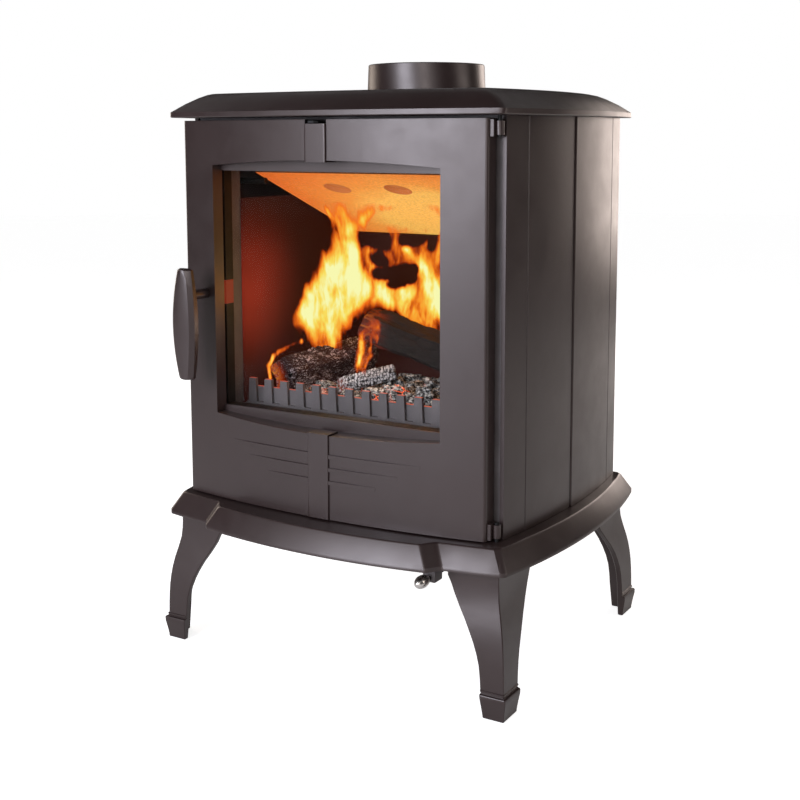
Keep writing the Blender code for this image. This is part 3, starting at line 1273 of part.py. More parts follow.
def make_liners():
    """The two side liners and the back liner, which stand on the floor."""
    low = FLOOR_TOP + SEAT_GAP
    pieces = []
    for side, name in ((-1, "side_liner_left"), (1, "side_liner_right")):
        xs = sorted((side * LINER_X, side * (LINER_X + LINER_THICK)))
        pieces.append(box(name, (xs[0], LINER_FRONT_Y, low), (xs[1], LINER_BACK_Y + BACK_LINER_THICK, low + LINER_HEIGHT), edge=0.001))
    half = LINER_X - SEAT_GAP
    slope = (BAFFLE_REAR_Z - BAFFLE_FRONT_Z) / (BAFFLE_REAR_Y - BAFFLE_FRONT_Y)
    top = BAFFLE_REAR_Z - SEAT_GAP - 0.0005
    pieces.append(box("back_liner", (-half, LINER_BACK_Y, low), (half, LINER_BACK_Y + BACK_LINER_THICK, top)))
    for piece in pieces:
        paint(piece, "fire_brick")
    return pieces


def make_baffle():
    """The sloping baffle over the fire, with three round recesses in its underside."""
    run = BAFFLE_REAR_Y - BAFFLE_FRONT_Y
    fall = BAFFLE_FRONT_Z - BAFFLE_REAR_Z
    angle = math.atan2(fall, run)
    up = (math.sin(angle) * BAFFLE_THICK, math.cos(angle) * BAFFLE_THICK)
    profile = [(BAFFLE_FRONT_Y, BAFFLE_FRONT_Z), (BAFFLE_REAR_Y, BAFFLE_REAR_Z),
               (BAFFLE_REAR_Y + up[0], BAFFLE_REAR_Z + up[1]), (BAFFLE_FRONT_Y + up[0], BAFFLE_FRONT_Z + up[1])]
    baffle = flat_shape("baffle_plate", [profile], -BAFFLE_HALF, BAFFLE_HALF, plane="YZ")
    z = BAFFLE_FRONT_Z - fall * (RECESS_Y - BAFFLE_FRONT_Y) / run
    for i in (-1, 0, 1):
        recess = rod(f"baffle_recess_{i}", RECESS_RADIUS, (RECESS_MID_X + i * RECESS_PITCH, RECESS_Y, z), 2 * RECESS_DEPTH, cutter=True, steps=24)
        recess.rotation_euler = (-angle, 0.0, 0.0)
        cut(baffle, recess)
    paint(baffle, "fire_brick")
    return baffle


def baffle_under(y):
    """Height of the baffle's underside at y."""
    return BAFFLE_FRONT_Z + (BAFFLE_REAR_Z - BAFFLE_FRONT_Z) * (y - BAFFLE_FRONT_Y) / (BAFFLE_REAR_Y - BAFFLE_FRONT_Y)


def make_baffle_pegs():
    """Two pegs in the side panels that carry the baffle's front."""
    pieces = []
    z = baffle_under(PEG_Y) - (PEG_RADIUS + SEAT_GAP) / math.cos(math.atan2(BAFFLE_FRONT_Z - BAFFLE_REAR_Z, BAFFLE_REAR_Y - BAFFLE_FRONT_Y))
    outer = panel_x(PEG_Y) - PANEL_THICK - SEAT_GAP - 0.0004
    inner = BAFFLE_HALF - 0.004
    for side, name in ((-1, "baffle_peg_left"), (1, "baffle_peg_right")):
        peg = rod(name, PEG_RADIUS, (side * (outer + inner) / 2, PEG_Y, z), outer - inner, axis="X", steps=16)
        paint(peg, "black_steel")
        pieces.append(peg)
    return pieces


def make_log_fence():
    """The fence that keeps logs off the glass: tall tapered teeth in front of lower slats, on a foot."""
    low = FLOOR_TOP + SEAT_GAP
    slats = box("log_fence", (-FENCE_HALF, FENCE_Y + FENCE_TOOTH_THICK - 0.001, low),
                (FENCE_HALF, FENCE_Y + FENCE_TOOTH_THICK + FENCE_SLAT_THICK, low + FENCE_SLAT_HEIGHT))
    outline = [(-FENCE_HALF, low), (FENCE_HALF, low), (FENCE_HALF, low + FENCE_FOOT)]
    for i in reversed(range(FENCE_TEETH)):
        x = (i - (FENCE_TEETH - 1) / 2) * FENCE_TOOTH_PITCH
        bottom = FENCE_TOOTH_BOTTOM / 2
        top = FENCE_TOOTH_TOP / 2
        outline += [(x + bottom, low + FENCE_FOOT), (x + top, low + FENCE_HEIGHT), (x - top, low + FENCE_HEIGHT), (x - bottom, low + FENCE_FOOT)]
    outline.append((-FENCE_HALF, low + FENCE_FOOT))
    teeth = flat_shape("fence_teeth", [outline], FENCE_Y, FENCE_Y + FENCE_TOOTH_THICK, plane="XZ", cutter=True)
    join(slats, teeth)
    paint(slats, "raw_iron")
    return slats


def make_pan_runners():
    """Two rails that carry the ash pan clear of the frame's lower bar, so that it slides out level."""
    low = BASE_TOP + SEAT_GAP
    for side, name in ((-1, "ash_pan_runner_left"), (1, "ash_pan_runner_right")):
        xs = sorted((side * RUNNER_X, side * (RUNNER_X + RUNNER_WIDTH)))
        runner = box(name, (xs[0], PAN_FRONT_Y + 0.012, low), (xs[1], PAN_REAR_Y - 0.006, BASE_TOP + RUNNER_HEIGHT), edge=0.001)
        paint(runner, "raw_iron")


def make_ash_pan():
    """The folded steel ash pan with a turned-out front lip."""
    low = BASE_TOP + RUNNER_HEIGHT + SEAT_GAP
    pan = box("ash_pan", (-PAN_HALF, PAN_FRONT_Y, low), (PAN_HALF, PAN_REAR_Y, low + PAN_HEIGHT))
    inside = box("ash_pan_inside", (-PAN_HALF + PAN_WALL, PAN_FRONT_Y + PAN_WALL, low + PAN_WALL),
                 (PAN_HALF - PAN_WALL, PAN_REAR_Y - PAN_WALL, low + PAN_HEIGHT + 0.01), cutter=True)
    lip = box("ash_pan_lip", (-0.045, PAN_FRONT_Y - 0.010, low + PAN_HEIGHT - 0.006),
              (0.045, PAN_FRONT_Y + PAN_WALL / 2, low + PAN_HEIGHT - 0.0045), cutter=True)
    cut(pan, inside)
    join(pan, lip)
    paint(pan, "black_steel")
    return pan


def make_log(name, shape, swell=0.0, cutter=False):
    """A split log: a rough many-sided bar along its axis. A swollen copy cuts its seat in the ember bed."""
    first, last, thick, seed = shape
    start = Vector((first[0], CHORD_Y + first[1], FLOOR_TOP + first[2]))
    along = Vector((last[0], CHORD_Y + last[1], FLOOR_TOP + last[2])) - start
    across = along.cross(Vector((0, 0, 1))).normalized()
    upward = across.cross(along).normalized()
    sides = 12
    count = 9
    rings = []
    for i in range(count + 1):
        points = []
        for j in range(sides):
            angle = 2 * math.pi * j / sides
            rough = 1 + 0.09 * math.sin(3 * angle + seed) + 0.05 * math.sin(5 * angle + 1.7 * i + seed)
            radius = thick * rough * (0.90 if i in (0, count) else 1.0) + swell
            place = i / count + (swell / along.length) * {0: -1, count: 1}.get(i, 0)
            points.append(tuple(start + along * place + across * radius * math.cos(angle) + upward * radius * math.sin(angle)))
        rings.append(points)
    log = loft(name, rings, cutter, split=True)
    if not cutter:
        paint(log, "charred_wood")
    return log


def make_ember_bed():
    """The low uneven bed of ash and embers that the logs lie on."""
    columns = 14
    rows = 8
    bm = bmesh.new()
    low = FLOOR_TOP + SEAT_GAP
    top = []
    foot = []
    for j in range(rows + 1):
        y = BED_LOW[1] + (BED_HIGH[1] - BED_LOW[1]) * j / rows
        top_row = []
        foot_row = []
        for i in range(columns + 1):
            x = BED_LOW[0] + (BED_HIGH[0] - BED_LOW[0]) * i / columns
            edge = min(i, columns - i, j, rows - j)
            rise = BED_HEIGHT * (0.30, 0.80, 1.0)[min(edge, 2)]
            rise *= 0.86 + 0.14 * math.sin(2.3 * i + 1.1 * j)
            rise += MOUND_HEIGHT * math.exp(-((x - MOUND_AT[0]) ** 2 + (y - MOUND_AT[1]) ** 2) / (2 * MOUND_SPREAD ** 2))
            top_row.append(bm.verts.new((x, CHORD_Y + y, low + rise)))
            foot_row.append(bm.verts.new((x, CHORD_Y + y, low)))
        top.append(top_row)
        foot.append(foot_row)
    for j in range(rows):
        for i in range(columns):
            bm.faces.new((top[j][i], top[j][i + 1], top[j + 1][i + 1], top[j + 1][i]))
            bm.faces.new((foot[j][i], foot[j + 1][i], foot[j + 1][i + 1], foot[j][i + 1]))
    border = [(0, i) for i in range(columns)] + [(j, columns) for j in range(rows)]
    border += [(rows, i) for i in range(columns, 0, -1)] + [(j, 0) for j in range(rows, 0, -1)]
    for (j0, i0), (j1, i1) in zip(border, border[1:] + border[:1]):
        bm.faces.new((top[j0][i0], top[j1][i1], foot[j1][i1], foot[j0][i0]))
    bed = from_bmesh("ember_bed", bm)
    for name, shape in LOGS.items():
        cut(bed, make_log(name + "_seat", shape, SEAT_GAP, cutter=True))
    paint(bed, "charred_wood")
    return bed


clear_scene()
PARTS = new_collection("cast_iron_stove")
CUTTERS = new_collection("cutters")
LEG_Y = {-1: BASE_CORNER_Y + LEG_INSET_Y, 1: BASE_REAR - LEG_INSET_Y - 0.0045}
WASH_SLOT_Z = TAB_Z + TAB_THICK - WASH_PLATE_HEIGHT + 0.002
GRATE_Y = CHORD_Y + 0.168
LOGS = {"log_left": LOG_LEFT, "log_right": LOG_RIGHT, "log_front": LOG_FRONT, "log_small": LOG_SMALL}
CORNERS = {(1, -1): "front_right", (-1, -1): "front_left", (1, 1): "rear_right", (-1, 1): "rear_left"}

make_base()
for (side, end), corner in CORNERS.items():
    make_leg(side, end, f"leg_{corner}")
    make_leg_bolt(side, end, f"leg_bolt_{corner}")
    make_tie_rod(side, end, f"tie_rod_{corner}")
make_top()
make_collar()
for side, hand in ((-1, "left"), (1, "right")):
    make_side_panel(side, f"side_panel_front_{hand}", BODY_FRONT, PANEL_JOINT_Y - SEAT_GAP, BEAD_Y, PANEL_STEP)
    make_side_panel(side, f"side_panel_rear_{hand}", PANEL_JOINT_Y, BODY_REAR, GROOVE_Y, 0.0)
make_back_panel()
make_front_frame()

hinge = pivot("door_hinge_axis", (HINGE_X, HINGE_Y, DOOR_BOTTOM))
door_pieces = [make_door(), make_glass(), make_door_rope(), *make_retainers()]
hang(door_pieces, hinge)
handle_axis = pivot("door_handle_axis", (HANDLE_X, DOOR_BACK, HANDLE_Z), hinge)
hang([make_handle(), make_spindle(), make_cam()], handle_axis)
make_hinge_pin("hinge_pin_upper", KNUCKLE_LEVELS[1] - 0.002, BODY_TOP + PIN_ENGAGE)
make_hinge_pin("hinge_pin_lower", BASE_TOP - PIN_ENGAGE, KNUCKLE_LEVELS[0] + KNUCKLE_HEIGHT + 0.002)

hang([make_wash_slider()], pivot("air_wash_axis", (TAB_LEFT, TAB_FRONT_Y, TAB_Z)))
hang([make_air_knob(), make_air_slider()], pivot("air_slide_axis", (KNOB_X, KNOB_Y, KNOB_Z)))
make_air_guide()
make_air_strap()

make_firebox_floor()
make_grate()
make_liners()
make_baffle()
make_baffle_pegs()
make_log_fence()
make_pan_runners()
make_ash_pan()
make_ember_bed()
for name, shape in LOGS.items():
    make_log(name, shape)
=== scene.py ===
# %% [markdown]
# # A cast iron wood stove with a burning fire
#
# The stove itself is already modelled: every casting, pin and rod comes in as a fixed frame. This file
# gives each casting its finish, puts detailed logs, charcoal and flames in the fire, and lights it all.
# Work goes from the outside in: the camera, the paint and the metals, the studio, and the fire last.

import math
import random

import bmesh
import bpy
import numpy as np
from mathutils import Matrix, Vector, noise


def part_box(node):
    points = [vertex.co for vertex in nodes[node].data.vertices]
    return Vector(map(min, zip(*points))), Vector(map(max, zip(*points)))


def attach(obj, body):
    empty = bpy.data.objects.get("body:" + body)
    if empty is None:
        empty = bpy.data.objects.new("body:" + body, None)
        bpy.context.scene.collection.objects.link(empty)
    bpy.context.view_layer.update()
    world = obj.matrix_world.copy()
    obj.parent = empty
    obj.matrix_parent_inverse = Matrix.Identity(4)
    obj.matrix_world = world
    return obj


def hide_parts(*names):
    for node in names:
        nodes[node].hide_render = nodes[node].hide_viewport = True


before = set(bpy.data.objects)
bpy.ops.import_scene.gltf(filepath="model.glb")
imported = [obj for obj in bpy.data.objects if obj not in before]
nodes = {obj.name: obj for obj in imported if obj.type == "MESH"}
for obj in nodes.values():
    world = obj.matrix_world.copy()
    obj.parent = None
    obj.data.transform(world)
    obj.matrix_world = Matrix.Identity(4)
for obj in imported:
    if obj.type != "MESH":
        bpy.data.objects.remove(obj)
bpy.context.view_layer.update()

# %% [markdown]
# ## The camera
#
# The photograph was taken a little below the stove's top, from 31 degrees to the right of the door,
# with a lens that stays nearly upright. A small lens shift and a small tilt share that framing between
# them: more shift would match the picture better, but would push the stove out of every other view.

# %% Place the camera
CAMERA_PLACE = Vector((0.8062, -1.3496, 0.6363))
CAMERA_TURN = 30.8128
CAMERA_TILT = 7.2719
CAMERA_ROLL = -0.0964
CAMERA_SHIFT = -0.13
SENSOR = 36.0
LENS = 56.349
NEAREST = 0.05


def put(name, data):
    """Adds an object with this data to the scene."""
    made = bpy.data.objects.new(name, data)
    bpy.context.scene.collection.objects.link(made)
    return made


def make_camera():
    """A camera that looks level along its turn, then tilts down and rolls."""
    data = bpy.data.cameras.new("studio_camera")
    data.sensor_width = SENSOR
    data.lens = LENS
    data.shift_y = CAMERA_SHIFT
    data.clip_start = NEAREST
    turn = Matrix.Rotation(math.radians(CAMERA_TURN), 4, "Z")
    tilt = Matrix.Rotation(math.radians(90.0 - CAMERA_TILT), 4, "X")
    roll = Matrix.Rotation(math.radians(CAMERA_ROLL), 4, "Z")
    camera = put("studio_camera", data)
    camera.matrix_world = Matrix.Translation(CAMERA_PLACE) @ turn @ tilt @ roll
    return camera


bpy.context.scene.camera = make_camera()
bpy.context.scene.view_settings.view_transform = "Standard"
print("camera:", CAMERA_TURN, "degrees round, with a lens of", LENS, "mm")

# %% [markdown]
# ## Helpers for nodes
#
# Paint, iron, char and fire have no picture behind them here: nodes work each of them out. Adding nodes
# one by one takes many lines, so short helpers do it, in any tree, also in that of the surround.

# %% Helpers for any node tree


class Nodes:
    """Short ways to add and join the nodes of one tree."""

    def __init__(self, tree):
        self.tree = tree

    def feed(self, target, value):
        """Links another node's socket to this one, or sets it to a plain number, vector or colour."""
        if isinstance(value, bpy.types.NodeSocket):
            self.tree.links.new(value, target)
        elif target.type == "RGBA":
            target.default_value = (*value, 1.0)
        else:
            target.default_value = value

    def add(self, kind, sockets=None, **settings):
        """Adds a node. Settings are its own options, and sockets says what each input gets."""
        node = self.tree.nodes.new(kind)
        for key, value in settings.items():
            setattr(node, key, value)
        for key, value in (sockets or {}).items():
            self.feed(node.inputs[key], value)
        return node

    def sum(self, operation, first, second=0.0, third=0.0, clamp=False):
        inputs = {0: first, 1: second, 2: third}
        return self.add("ShaderNodeMath", inputs, operation=operation, use_clamp=clamp).outputs["Value"]

    def between(self, value, low, high, to_low=0.0, to_high=1.0):
        """Maps a value from one range to another, smoothly and without passing its ends."""
        inputs = {"Value": value, "From Min": low, "From Max": high, "To Min": to_low, "To Max": to_high}
        return self.add("ShaderNodeMapRange", inputs, interpolation_type="SMOOTHSTEP").outputs["Result"]

    def axis(self, which, vector):
        return self.add("ShaderNodeSeparateXYZ", {"Vector": vector}).outputs[which]

    def ramp(self, value, stops):
        """A colour ramp from (place, colour) pairs. A colour is a grey number or a triple."""
        node = self.add("ShaderNodeValToRGB", {"Fac": value})
        marks = node.color_ramp.elements
        while len(marks) < len(stops):
            marks.new(0.5)
        for mark, (position, colour) in zip(marks, stops):
            mark.position = position
            mark.color = (colour, colour, colour, 1.0) if isinstance(colour, float) else (*colour, 1.0)
        return node.outputs["Color"]

    def blend(self, share, first, second, mode="MIX"):
        """Mixes two colours by a share, in one of the Mix node's modes."""
        node = self.add("ShaderNodeMix", {"Factor": share}, data_type="RGBA", blend_type=mode)
        colours = [socket for socket in node.inputs if socket.type == "RGBA"]
        self.feed(colours[0], first)
        self.feed(colours[1], second)
        return next(socket for socket in node.outputs if socket.type == "RGBA")

    def mix(self, share, first, second):
        """Mixes two shaders by a share."""
        return self.add("ShaderNodeMixShader", {"Fac": share, 1: first, 2: second}).outputs["Shader"]


print("node helpers:", [name for name in vars(Nodes) if not name.startswith("_")])

# %% [markdown]
# ## Helpers for a finish
#
# Each finish of the stove is a Principled shader whose colour, roughness and bump come from noise. The
# castings have no unwrapped surface to paint on, so noise and distances are read in the object's own
# space. A grain of one millimetre is then one millimetre on every piece.

# %% Helpers for a finish


class Finish(Nodes):
    """A new material with its node tree and its Principled shader."""

    def __init__(self, name, colour, roughness, metallic=0.0, specular=0.5):
        self.material = bpy.data.materials.new(name)
        self.material.use_nodes = True
        super().__init__(self.material.node_tree)
        self.shader = self.tree.nodes["Principled BSDF"]
        self.set("Base Color", colour)
        self.set("Roughness", roughness)
        self.set("Metallic", metallic)
        self.set("Specular IOR Level", specular)
        self.place = self.add("ShaderNodeTexCoord").outputs["Object"]

    def set(self, name, value):
        """Feeds an input of the Principled shader."""
        self.feed(self.shader.inputs[name], value)

    def glow(self, colour, strength):
        self.set("Emission Color", colour)
        self.set("Emission Strength", strength)

    def surface(self, shader):
        """Sends another shader to the output in the Principled shader's place."""
        self.feed(self.tree.nodes["Material Output"].inputs["Surface"], shader)

    def stretched(self, scale, turn=(0.0, 0.0, 0.0), vector=None):
        """Coordinates that are scaled by axis and then turned, for grain that runs one way."""
        inputs = {"Vector": vector or self.place, "Scale": scale, "Rotation": turn}
        return self.add("ShaderNodeMapping", inputs).outputs["Vector"]

    def noise(self, scale, detail=4.0, rough=0.55, warp=0.0, vector=None):
        inputs = {"Vector": vector or self.place, "Scale": scale, "Detail": detail, "Roughness": rough,
                  "Distortion": warp}
        return self.add("ShaderNodeTexNoise", inputs).outputs["Fac"]

    def near(self, centre, radius, vector=None):
        """1 at a point of the stove, falling smoothly to 0 at a radius from it."""
        inputs = {0: vector or self.place, 1: centre}
        gap = self.add("ShaderNodeVectorMath", inputs, operation="DISTANCE").outputs["Value"]
        return self.between(gap, 0.0, radius, 1.0, 0.0)

    def bump(self, height, strength, distance, below=None):
        """Bump of a depth in metres, on top of another bump where one is given."""
        inputs = {"Height": height, "Strength": strength, "Distance": distance}
        if below is not None:
            inputs["Normal"] = below
        return self.add("ShaderNodeBump", inputs).outputs["Normal"]


print("finish helpers:", [name for name in vars(Finish) if not name.startswith("_")])

# %% [markdown]
# ## Satin stove paint
#
# The castings wear a warm anthracite paint with a satin shine. Under the paint the iron keeps a little
# of the sand mould's roughness, so the surface has a very fine bump, and the paint is a touch uneven in
# colour and shine over a hand's width. A plain colour would look like plastic. Two bumps of unlike size
# and two slow noises are enough, because satin paint hides anything larger.

# %% Make the stove paint
PAINT_COLOUR = (0.024, 0.014, 0.013)
PAINT_SHINE = (1.0, 0.90, 0.88)
PAINT_ROUGH = 0.34


def shade(colour, share):
    return tuple(share * c for c in colour)


def stove_paint():
    finish = Finish("satin_paint", PAINT_COLOUR, PAINT_ROUGH, specular=0.6)
    finish.set("Specular Tint", PAINT_SHINE)
    cloud = finish.noise(9.0, 3.0, 0.6)
    shades = [(0.30, shade(PAINT_COLOUR, 0.90)), (0.70, shade(PAINT_COLOUR, 1.12))]
    finish.set("Base Color", finish.ramp(cloud, shades))
    haze = finish.noise(30.0, 4.0, 0.6)
    finish.set("Roughness", finish.between(haze, 0.2, 0.8, PAINT_ROUGH - 0.03, PAINT_ROUGH + 0.05))
    cast = finish.bump(finish.noise(120.0, 3.0, 0.6), 0.05, 0.0006)
    finish.set("Normal", finish.bump(finish.noise(950.0, 2.0, 0.6), 0.10, 0.0004, cast))
    return finish.material


paint = stove_paint()
print(paint.name, "has", len(paint.node_tree.nodes), "nodes")

# %% [markdown]
# ## Bare iron, blackened steel and bright steel
#
# The parts near the fire are unpainted grey iron with a rough cast skin. Rods, pins, strips and the pan
# are dark steel. Only the air knob is bright: its noise is stretched so that it reads as fine turning
# marks. The tips of the fence's teeth catch the red light of the embers. A lamp among the embers would
# redden the whole fence, so instead the faces that look up, above the fence's foot, glow a little.

# %% Make the metals
IRON_COLOUR = (0.115, 0.098, 0.098)
EMBER_LIGHT = (0.62, 0.05, 0.012)
TIPS_ABOVE_FOOT = 0.010


def bare_iron(name, lit_above=None):
    """Grey cast iron. Above a height, where one is given, its upward faces are lit by the embers."""
    finish = Finish(name, IRON_COLOUR, 0.6, metallic=0.15)
    cloud = finish.noise(24.0, 5.0, 0.65)
    shades = [(0.30, shade(IRON_COLOUR, 0.72)), (0.72, shade(IRON_COLOUR, 1.2))]
    finish.set("Base Color", finish.ramp(cloud, shades))
    finish.set("Normal", finish.bump(finish.noise(420.0, 3.0, 0.6), 0.30, 0.0006))
    if lit_above is not None:
        normal = finish.add("ShaderNodeNewGeometry").outputs["Normal"]
        upward = finish.between(finish.axis("Z", normal), 0.85, 0.95, 0.0, 0.7)
        high = finish.between(finish.axis("Z", finish.place), lit_above, lit_above + 0.004)
        finish.glow(EMBER_LIGHT, finish.sum("MULTIPLY", high, upward))
    return finish.material


def dark_steel(name, colour, roughness):
    finish = Finish(name, colour, roughness, metallic=0.25, specular=0.3)
    cloud = finish.noise(60.0, 4.0, 0.6)
    finish.set("Roughness", finish.between(cloud, 0.25, 0.75, roughness - 0.08, roughness + 0.08))
    finish.set("Normal", finish.bump(finish.noise(700.0, 2.0, 0.5), 0.08, 0.0003))
    return finish.material


def polished_steel(name, colour, roughness):
    finish = Finish(name, colour, roughness, metallic=1.0)
    marks = finish.noise(90.0, 3.0, 0.6, vector=finish.stretched((1.0, 1.0, 9.0)))
    finish.set("Roughness", finish.between(marks, 0.3, 0.7, roughness - 0.05, roughness + 0.08))
    finish.set("Normal", finish.bump(marks, 0.04, 0.0002))
    return finish.material


iron = bare_iron("bare_iron")
fence_foot = min(corner[2] for corner in nodes["log_fence"].bound_box)
lit_iron = bare_iron("ember_lit_iron", fence_foot + TIPS_ABOVE_FOOT)
black = dark_steel("blackened_steel", (0.010, 0.009, 0.009), 0.55)
bright = polished_steel("bright_steel", (0.60, 0.56, 0.53), 0.24)
print("metals:", [m.name for m in (iron, lit_iron, black, bright)], "fence foot at", round(fence_foot, 4))

# %% [markdown]
# ## Rounding the shading
#
# The frame's solids come in as loose triangles with flat shading, and their meshes must not change. So
# each face corner gets its own normal: the area-weighted mean of the faces that meet at its place and
# lie within a limit angle of its own face. Flat faces stay flat and round ones look round.

# %% Shade a node by angle
SHADE_ANGLE = 34.0


def shade_by_angle(obj, limit):
    mesh = obj.data
    count = len(mesh.loops)
    places = np.empty(len(mesh.vertices) * 3)
    mesh.vertices.foreach_get("co", places)
    places = places.reshape(-1, 3)
    corner = np.empty(count, dtype=np.int64)
    mesh.loops.foreach_get("vertex_index", corner)
    faces = np.repeat(np.arange(len(mesh.polygons)), [p.loop_total for p in mesh.polygons])
    normals = np.array([p.normal for p in mesh.polygons])
    areas = np.array([p.area for p in mesh.polygons])
    _, spot = np.unique(np.round(places[corner], 6), axis=0, return_inverse=True)
    spot = spot.reshape(-1)
    order = np.argsort(spot, kind="stable")
    ends = np.flatnonzero(np.diff(spot[order])) + 1
    least = math.cos(math.radians(limit))
    made = np.empty((count, 3))
    for group in np.split(order, ends):
        own = normals[faces[group]]
        close = (own @ own.T) > least
        mean = close @ (own * areas[faces[group]][:, None])
        made[group] = mean / np.maximum(np.linalg.norm(mean, axis=1, keepdims=True), 1e-12)
    mesh.polygons.foreach_set("use_smooth", np.ones(len(mesh.polygons), dtype=bool))
    mesh.normals_split_custom_set(made)


for part in nodes.values():
    shade_by_angle(part, SHADE_ANGLE)
print("shaded", len(nodes), "nodes by angle")

# %% [markdown]
# ## The studio
#
# The stove stands on a pale floor in a white surround. So much light from all round would flatten the
# dark paint, so Light Path tells the rays apart. The camera sees both at full brightness. Mirror rays,
# and rays through the glass, find the surround as bright and the floor less so. All other rays meet a
# fifth of the surround's light and a plain floor, which keeps the stove's shadow.

# %% Make the surround and the floor
SURROUND_LIGHT = 0.20
FLOOR_COLOUR = (0.80, 0.80, 0.80)
FLOOR_SEEN = 0.80
FLOOR_MIRRORED = 0.20
FLOOR_RADIUS = 9.0
FLOOR_DROP = 0.0004


def pale_rays(work):
    """1 for rays that should find the pale background: from the camera, or by a mirror or a glass."""
    path = work.add("ShaderNodeLightPath").outputs
    shown = work.sum("MAXIMUM", path["Is Camera Ray"], path["Is Glossy Ray"])
    return work.sum("MAXIMUM", shown, path["Is Transmission Ray"])


def make_surround():
    world = bpy.data.worlds.new("studio_surround")
    bpy.context.scene.world = world
    world.use_nodes = True
    work = Nodes(world.node_tree)
    back = work.tree.nodes["Background"].inputs
    work.feed(back["Color"], (1.0, 1.0, 1.0))
    work.feed(back["Strength"], work.between(pale_rays(work), 0.0, 1.0, SURROUND_LIGHT, 1.0))
    return world


def pale_floor():
    """A plain finish, with light of its own added for the rays that should find it pale."""
    finish = Finish("pale_floor", FLOOR_COLOUR, 0.9, specular=0.1)
    seen = finish.add("ShaderNodeLightPath").outputs["Is Camera Ray"]
    strength = finish.between(seen, 0.0, 1.0, FLOOR_MIRRORED, FLOOR_SEEN)
    light = finish.add("ShaderNodeEmission", {"Strength": strength}).outputs["Emission"]
    plain = finish.shader.outputs["BSDF"]
    both = finish.add("ShaderNodeAddShader", {0: plain, 1: light}).outputs["Shader"]
    finish.surface(finish.mix(pale_rays(finish), plain, both))
    return finish.material


def make_floor():
    bm = bmesh.new()
    bmesh.ops.create_circle(bm, cap_ends=True, radius=FLOOR_RADIUS, segments=96)
    mesh = bpy.data.meshes.new("studio_floor")
    bm.to_mesh(mesh)
    bm.free()
    mesh.materials.append(pale_floor())
    floor = put("studio_floor", mesh)
    floor.location.z = -FLOOR_DROP
    return floor


print("studio:", make_surround().name, "and", make_floor().name)

# %% [markdown]
# ## The dark cards
#
# Satin paint shows what it mirrors, so a white surround turns it pale grey. A photographer stands black
# cards round such an object: here two curved ones at the sides and the back, and a round one above.
# Only mirror rays meet them. The gap before the door lets the paint mirror the pale surround there.

# %% Stand the dark cards
CARD_REACH = 3.0
CARD_TOP = 2.7
CARD_STEPS = 16
RIM_REACH = 2.6
RIM_POINTS = 24


def round_the_stove(azimuth, reach, height):
    """A place round the stove. Azimuth 0 is before the door and 90 is at the stove's right."""
    turn = math.radians(azimuth)
    return Vector((math.sin(turn) * reach, -math.cos(turn) * reach, height))


def dark_card(name, points, faces):
    """A dull dark screen that mirror rays meet and nothing else does."""
    mesh = bpy.data.meshes.new(name)
    mesh.from_pydata(points, [], faces)
    mesh.materials.append(Finish(name, (0.03, 0.03, 0.03), 1.0, specular=0.0).material)
    card = put(name, mesh)
    card.visible_camera = False
    card.visible_diffuse = False
    card.visible_transmission = False
    card.visible_shadow = False
    return card


def card_arc(name, start, end):
    """An upright card that curves round the stove from one azimuth to another."""
    turns = [start + (end - start) * i / CARD_STEPS for i in range(CARD_STEPS + 1)]
    points = [round_the_stove(turn, CARD_REACH, z) for turn in turns for z in (0.0, CARD_TOP)]
    return dark_card(name, points, [(2 * i, 2 * i + 2, 2 * i + 3, 2 * i + 1) for i in range(CARD_STEPS)])


card_arc("dark_card_right", 50.0, 209.0)
card_arc("dark_card_left", -150.0, -44.0)
rim = [round_the_stove(180.0 - 360.0 * i / RIM_POINTS, RIM_REACH, CARD_TOP) for i in range(RIM_POINTS)]
dark_card("dark_card_above", rim, [tuple(range(RIM_POINTS))])

# %% [markdown]
# ## The soft lamps
#
# Five lamps light the castings. The strongest is the cool one before the door. The one behind lights
# the rear of the right side and the rim of the top, and three weaker ones fill in from the right, from
# beside the camera and from the left. They are large, so that shadows and highlights have soft edges.

# %% Hang the soft lamps
AIM = Vector((0.0, 0.0, 0.40))


def soft_lamp(name, azimuth, height, reach, size, power, tint):
    """An area lamp that hangs at an azimuth round the stove and faces it."""
    data = bpy.data.lights.new(name, "AREA")
    data.shape = "RECTANGLE"
    data.size, data.size_y = size
    data.energy = power
    data.color = tint
    lamp = put(name, data)
    lamp.location = round_the_stove(azimuth, reach, height)
    lamp.rotation_euler = (lamp.location - AIM).to_track_quat("Z", "Y").to_euler()
    print(name, "of", power, "watts at azimuth", azimuth)
    return lamp


soft_lamp("front_lamp", -12.0, 0.98, 2.4, (1.1, 1.2), 46.0, (0.98, 1.05, 1.20))
soft_lamp("rear_side_lamp", 171.0, 0.9, 2.6, (1.3, 1.3), 24.0, (1.0, 0.86, 0.78))
soft_lamp("side_lamp", 106.0, 1.0, 2.6, (0.9, 1.2), 10.0, (1.0, 0.93, 0.88))
soft_lamp("camera_side_lamp", 27.0, 1.10, 2.6, (0.6, 0.8), 9.0, (1.0, 0.98, 0.98))
soft_lamp("left_lamp", -104.0, 0.8, 2.4, (1.2, 1.2), 13.0, (1.0, 0.86, 0.74))

# %% [markdown]
# ## What wears which finish
#
# Every casting that shows from outside is painted. What stands in the heat is bare iron, because paint
# would burn off, and what clamps, slides or turns is dark steel. One table says it all, so a finish can
# be changed in one place.

# %% Paint the castings


def four(name):
    """The names of the four pieces of one kind, one at each corner."""
    return [f"{name}_{end}_{side}" for end in ("front", "rear") for side in ("left", "right")]


